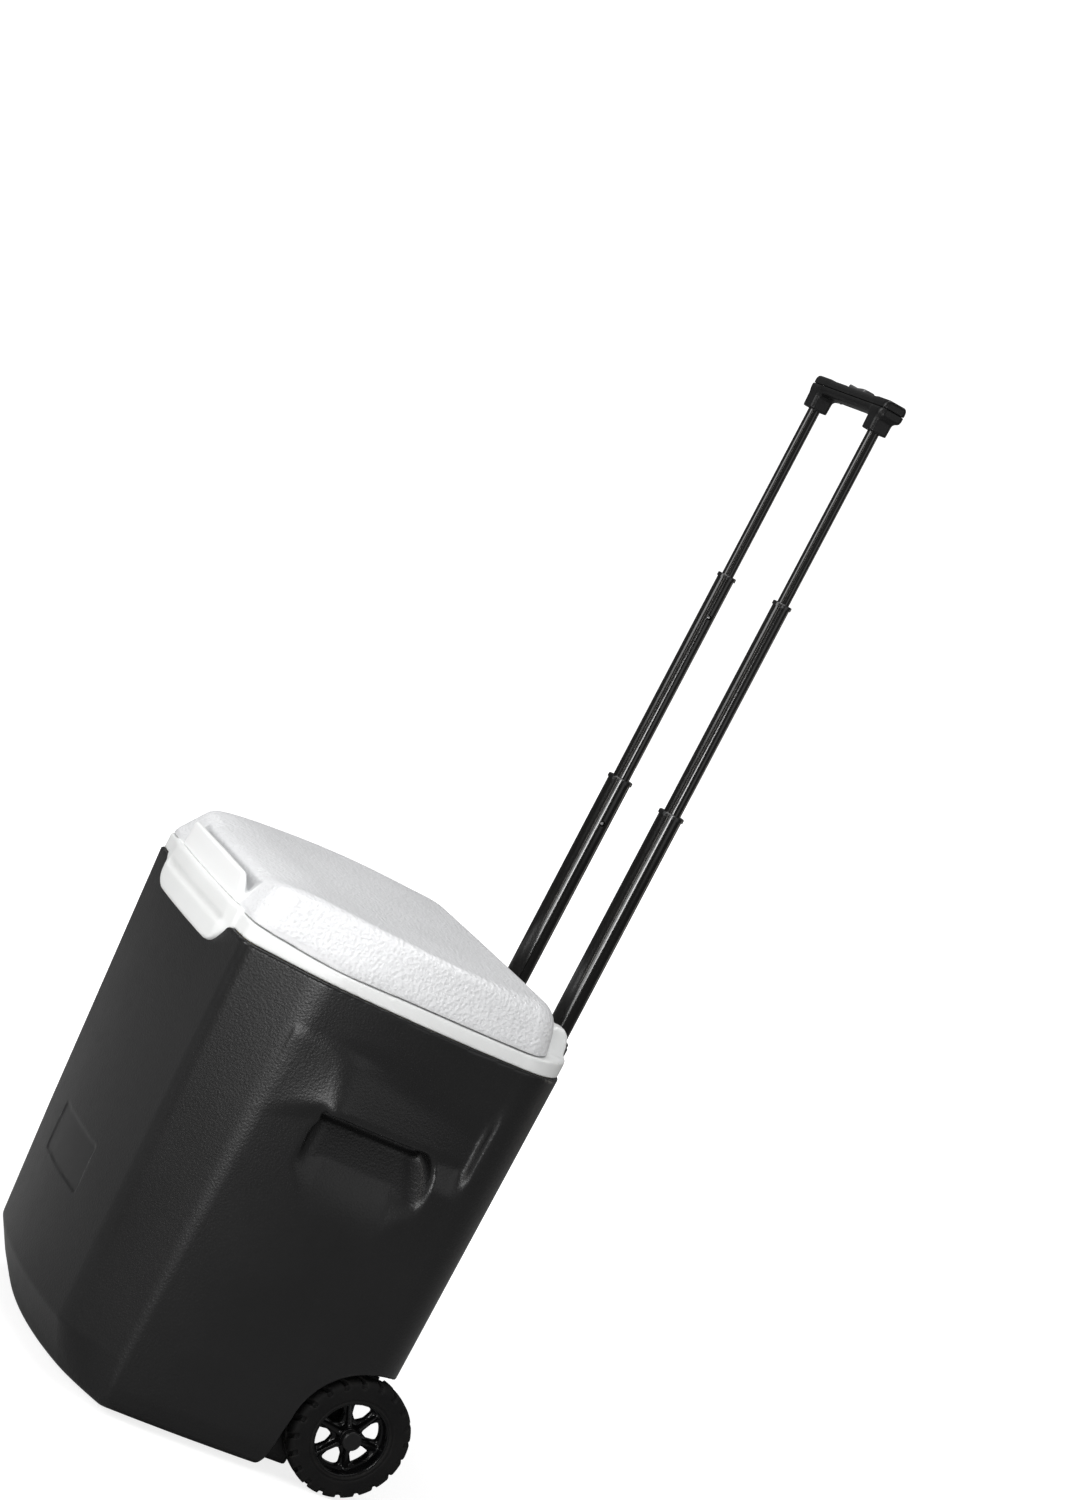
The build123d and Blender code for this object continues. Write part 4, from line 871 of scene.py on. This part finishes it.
mats = {
    "body": plastic("body_shell_grained", (0.0082, 0.0082, 0.0084), 0.33, grain=0.00012, cell=560.0, spread=0.10,
                    edge=(0.030, 0.030, 0.031), edge_mix=0.30, spec=0.31, wave=0.00005, masked=True, scuff=0.06,
                    cloudy=0.02),
    # the rim's groove colour is painted shade across the tab's step
    "rim": plastic("rim_white", (0.83, 0.84, 0.835), 0.36, spread=0.018, edge=(0.88, 0.88, 0.87), edge_mix=0.4,
                   spec=0.42, wave=0.00016, scuff=0.04, groove=(0.60, 0.61, 0.60)),
    # the lid's groove colour is painted shade behind the lip, and its lip colour is a painted highlight
    "lid": plastic("lid_white_grained", (0.74, 0.745, 0.757), 0.42, grain=0.00085, cell=330.0, spread=0.02,
                   edge=(0.88, 0.88, 0.88), edge_mix=0.35, spec=0.40, wave=0.00018, masked=True, scuff=0.04,
                   groove=(0.50, 0.505, 0.515), painted_lip_highlight=(0.93, 0.935, 0.935)),
    "pan": plastic("lid_inner_white", (0.80, 0.81, 0.805), 0.38, grain=0.00018, cell=520.0, spread=0.02,
                   edge=(0.88, 0.88, 0.87), edge_mix=0.3, spec=0.42, masked=True, scuff=0.05),
    "hub": plastic("hub_gloss_black", (0.0040, 0.0040, 0.0043), 0.16, spread=0.15, edge=(0.02, 0.02, 0.02), edge_mix=0.25,
                   spec=0.22, wave=0.00008, scuff=0.05, cloudy=0.03),
    "tyre": rubber(),
    "grip": plastic("grip_satin_black", (0.0065, 0.0065, 0.0068), 0.36, grain=0.00004, cell=1100.0, spread=0.14,
                    edge=(0.035, 0.035, 0.035), edge_mix=0.35, spec=0.20, scuff=0.06),
    "button": plastic("button_satin_grey", (0.060, 0.060, 0.062), 0.42, grain=0.00004, cell=1300.0, spread=0.12,
                      edge=(0.14, 0.14, 0.14), edge_mix=0.5, scuff=0.08),
    "tube": metal("tube_black_anodised", (0.0060, 0.0058, 0.0055), 0.14, (1.0, 1.0, 0.02), 0.08, 0.05, 0.0, 0.42,
                  (0.03, 0.029, 0.028), 500.0, 0.0000002, even=0.15),
    "collar": plastic("collar_black", (0.0065, 0.0065, 0.0068), 0.20, grain=0.000006, cell=1400.0, spread=0.12,
                      edge=(0.02, 0.02, 0.02), scuff=0.05, spec=0.45),
    "fitting": plastic("bracket_black", (0.010, 0.010, 0.0103), 0.44, grain=0.00008, cell=900.0, spread=0.16,
                       edge=(0.06, 0.06, 0.06), scuff=0.15),
    "inner": plastic("guide_dark_plastic", (0.055, 0.055, 0.057), 0.55, grain=0.00004, cell=1200.0, spread=0.12,
                     edge=(0.12, 0.12, 0.12), scuff=0.10),
    "cap": plastic("cap_satin_black", (0.006, 0.006, 0.0062), 0.34, grain=0.00003, cell=1500.0, spread=0.14,
                   edge=(0.05, 0.05, 0.05), scuff=0.12, spec=0.3),
    "washer": plastic("washer_natural", (0.62, 0.60, 0.54), 0.45, grain=0.00003, cell=1500.0, spread=0.05,
                      edge=(0.7, 0.69, 0.65), scuff=0.1),
    "steel": metal("axle_zinc_steel", (0.52, 0.52, 0.50), 0.34, (0.03, 1.0, 1.0), 0.10, 0.25, 1.0, 0.5,
                   (0.75, 0.74, 0.70), 2200.0, 0.000012),
    "pin": metal("pin_plated_steel", (0.36, 0.36, 0.36), 0.30, (1.0, 1.0, 0.05), 0.12, 0.3, 1.0, 0.5, (0.6, 0.6, 0.6)),
    "screw": metal("screw_dark_zinc", (0.20, 0.20, 0.205), 0.36, (1.0, 0.05, 1.0), 0.15, 0.35, 1.0, 0.5,
                   (0.5, 0.5, 0.5), 1800.0, 0.00002),
    "spring": metal("spring_wire", (0.48, 0.48, 0.47), 0.28, (1.0, 1.0, 1.0), 0.10, 0.2, 1.0, 0.5, (0.7, 0.7, 0.7),
                    1600.0, 0.00001),
    "foam": foam("insulating_foam"),
}

for ob, key in ((body, "body"), (rim, "rim"), (lid, "lid"), (pan, "pan"), (hubs[0], "hub"), (hubs[1], "hub"),
                (treads[0], "tyre"), (treads[1], "tyre"), (grip_low, "grip"), (grip_up, "grip"), (button, "button"),
                (foam_piece, "foam"), (springs, "spring")):
    ob.data.materials.append(mats[key])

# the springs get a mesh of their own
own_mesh(springs)

by_slot = {"black_shell": "body", "foam": "foam", "white_plastic": "rim", "lid_white": "lid", "steel": "steel",
           "black_fittings": "fitting", "screws": "screw", "black_tube": "tube", "black_collar": "collar",
           "inner_plastic": "inner", "pin_steel": "pin", "wheel_plastic": "hub", "tyre": "tyre", "axle_cap": "cap",
           "washer": "washer", "grip_plastic": "grip", "button_plastic": "button", "spring_steel": "spring"}
for row in frame["record"]["subparts"]:
    ob = nodes[row["node"]]
    while len(ob.data.materials) < 1:
        ob.data.materials.append(None)
    for i in range(len(ob.data.materials)):
        ob.material_slots[i].link = "OBJECT"
        ob.material_slots[i].material = mats[by_slot[row["material_slot"]]]

# ---------------------------------------------------------------- stage
floor = mesh_object("floor", [(-9, -9, 0), (9, -9, 0), (9, 9, 0), (-9, 9, 0)], [(0, 1, 2, 3)], False)
g = Graph("floor_white")
pale = g.mix(g.remap(g.noise(1.3, 3.0), 0.3, 0.7, 0, 1), (0.36, 0.36, 0.36), (0.39, 0.39, 0.39))
floor_mat = g.finish(pale, g.remap(g.noise(3.0, 3.0), 0.3, 0.7, 0.75, 0.85), spec=0.2)
g.bsdf.inputs["Emission Color"].default_value = (1, 1, 1, 1)
reach = g.new("ShaderNodeVectorMath", operation="LENGTH")
g.link(g.pos, reach.inputs[0])
seen = g.new("ShaderNodeLightPath").outputs["Is Camera Ray"]
glow = g.remap(reach.outputs["Value"], 0.2, 1.3, 0.80, 1.3, True)
g.link(g.math("MULTIPLY", glow, seen), g.bsdf.inputs["Emission Strength"])
floor.data.materials.append(floor_mat)

world = bpy.data.worlds.new("studio")
world.use_nodes = True
wt = world.node_tree
background = wt.nodes["Background"]
background.inputs[0].default_value = (1, 1, 1, 1)
kind = wt.nodes.new("ShaderNodeLightPath")
level = wt.nodes.new("ShaderNodeMapRange")
wt.links.new(kind.outputs["Is Camera Ray"], level.inputs["Value"])
level.inputs["To Min"].default_value = 0.18
level.inputs["To Max"].default_value = 1.15
wt.links.new(level.outputs[0], background.inputs[1])
bpy.context.scene.world = world
bpy.context.scene.view_settings.view_transform = "Standard"
bpy.context.scene.view_settings.look = "None"


def area(name, loc, target, size, power, size_y=None, color=(1, 1, 1)):
    li = bpy.data.lights.new(name, "AREA")
    li.energy, li.size, li.color = power, size, color
    if size_y:
        li.shape, li.size_y = "RECTANGLE", size_y
    ob = bpy.data.objects.new(name, li)
    bpy.context.scene.collection.objects.link(ob)
    ob.location = loc
    ob.rotation_mode = "QUATERNION"
    ob.rotation_quaternion = (Vector(target) - Vector(loc)).to_track_quat("-Z", "Y")
    return ob


area("key", (0.7, -2.5, 1.7), (0, 0, 0.3), 1.3, 19)
area("top_soft", (0.1, -0.3, 3.0), (0, 0, 0.3), 2.0, 47)
area("flank_soft", (2.72, -0.66, 0.34), (0.16, -0.05, 0.30), 0.45, 18)
area("low_soft", (1.95, -0.93, 0.06), (0.14, -0.1, 0.2), 0.7, 9)
area("front_fill", (0.3, -2.95, 1.2), (0, 0, 0.3), 1.4, 39)
area("tube_strip", (1.76, -1.92, 0.62), (0, 0.14, 0.62), 0.10, 4.5, 1.5, (1.0, 0.96, 0.90))
area("side_fill", (2.2, 1.4, 1.0), (0.1, 0, 0.3), 1.4, 6.5)
area("tube_rim", (-0.4, 2.6, 0.9), (0, 0.14, 0.6), 0.5, 3.5, 1.6, (1.0, 0.94, 0.86))
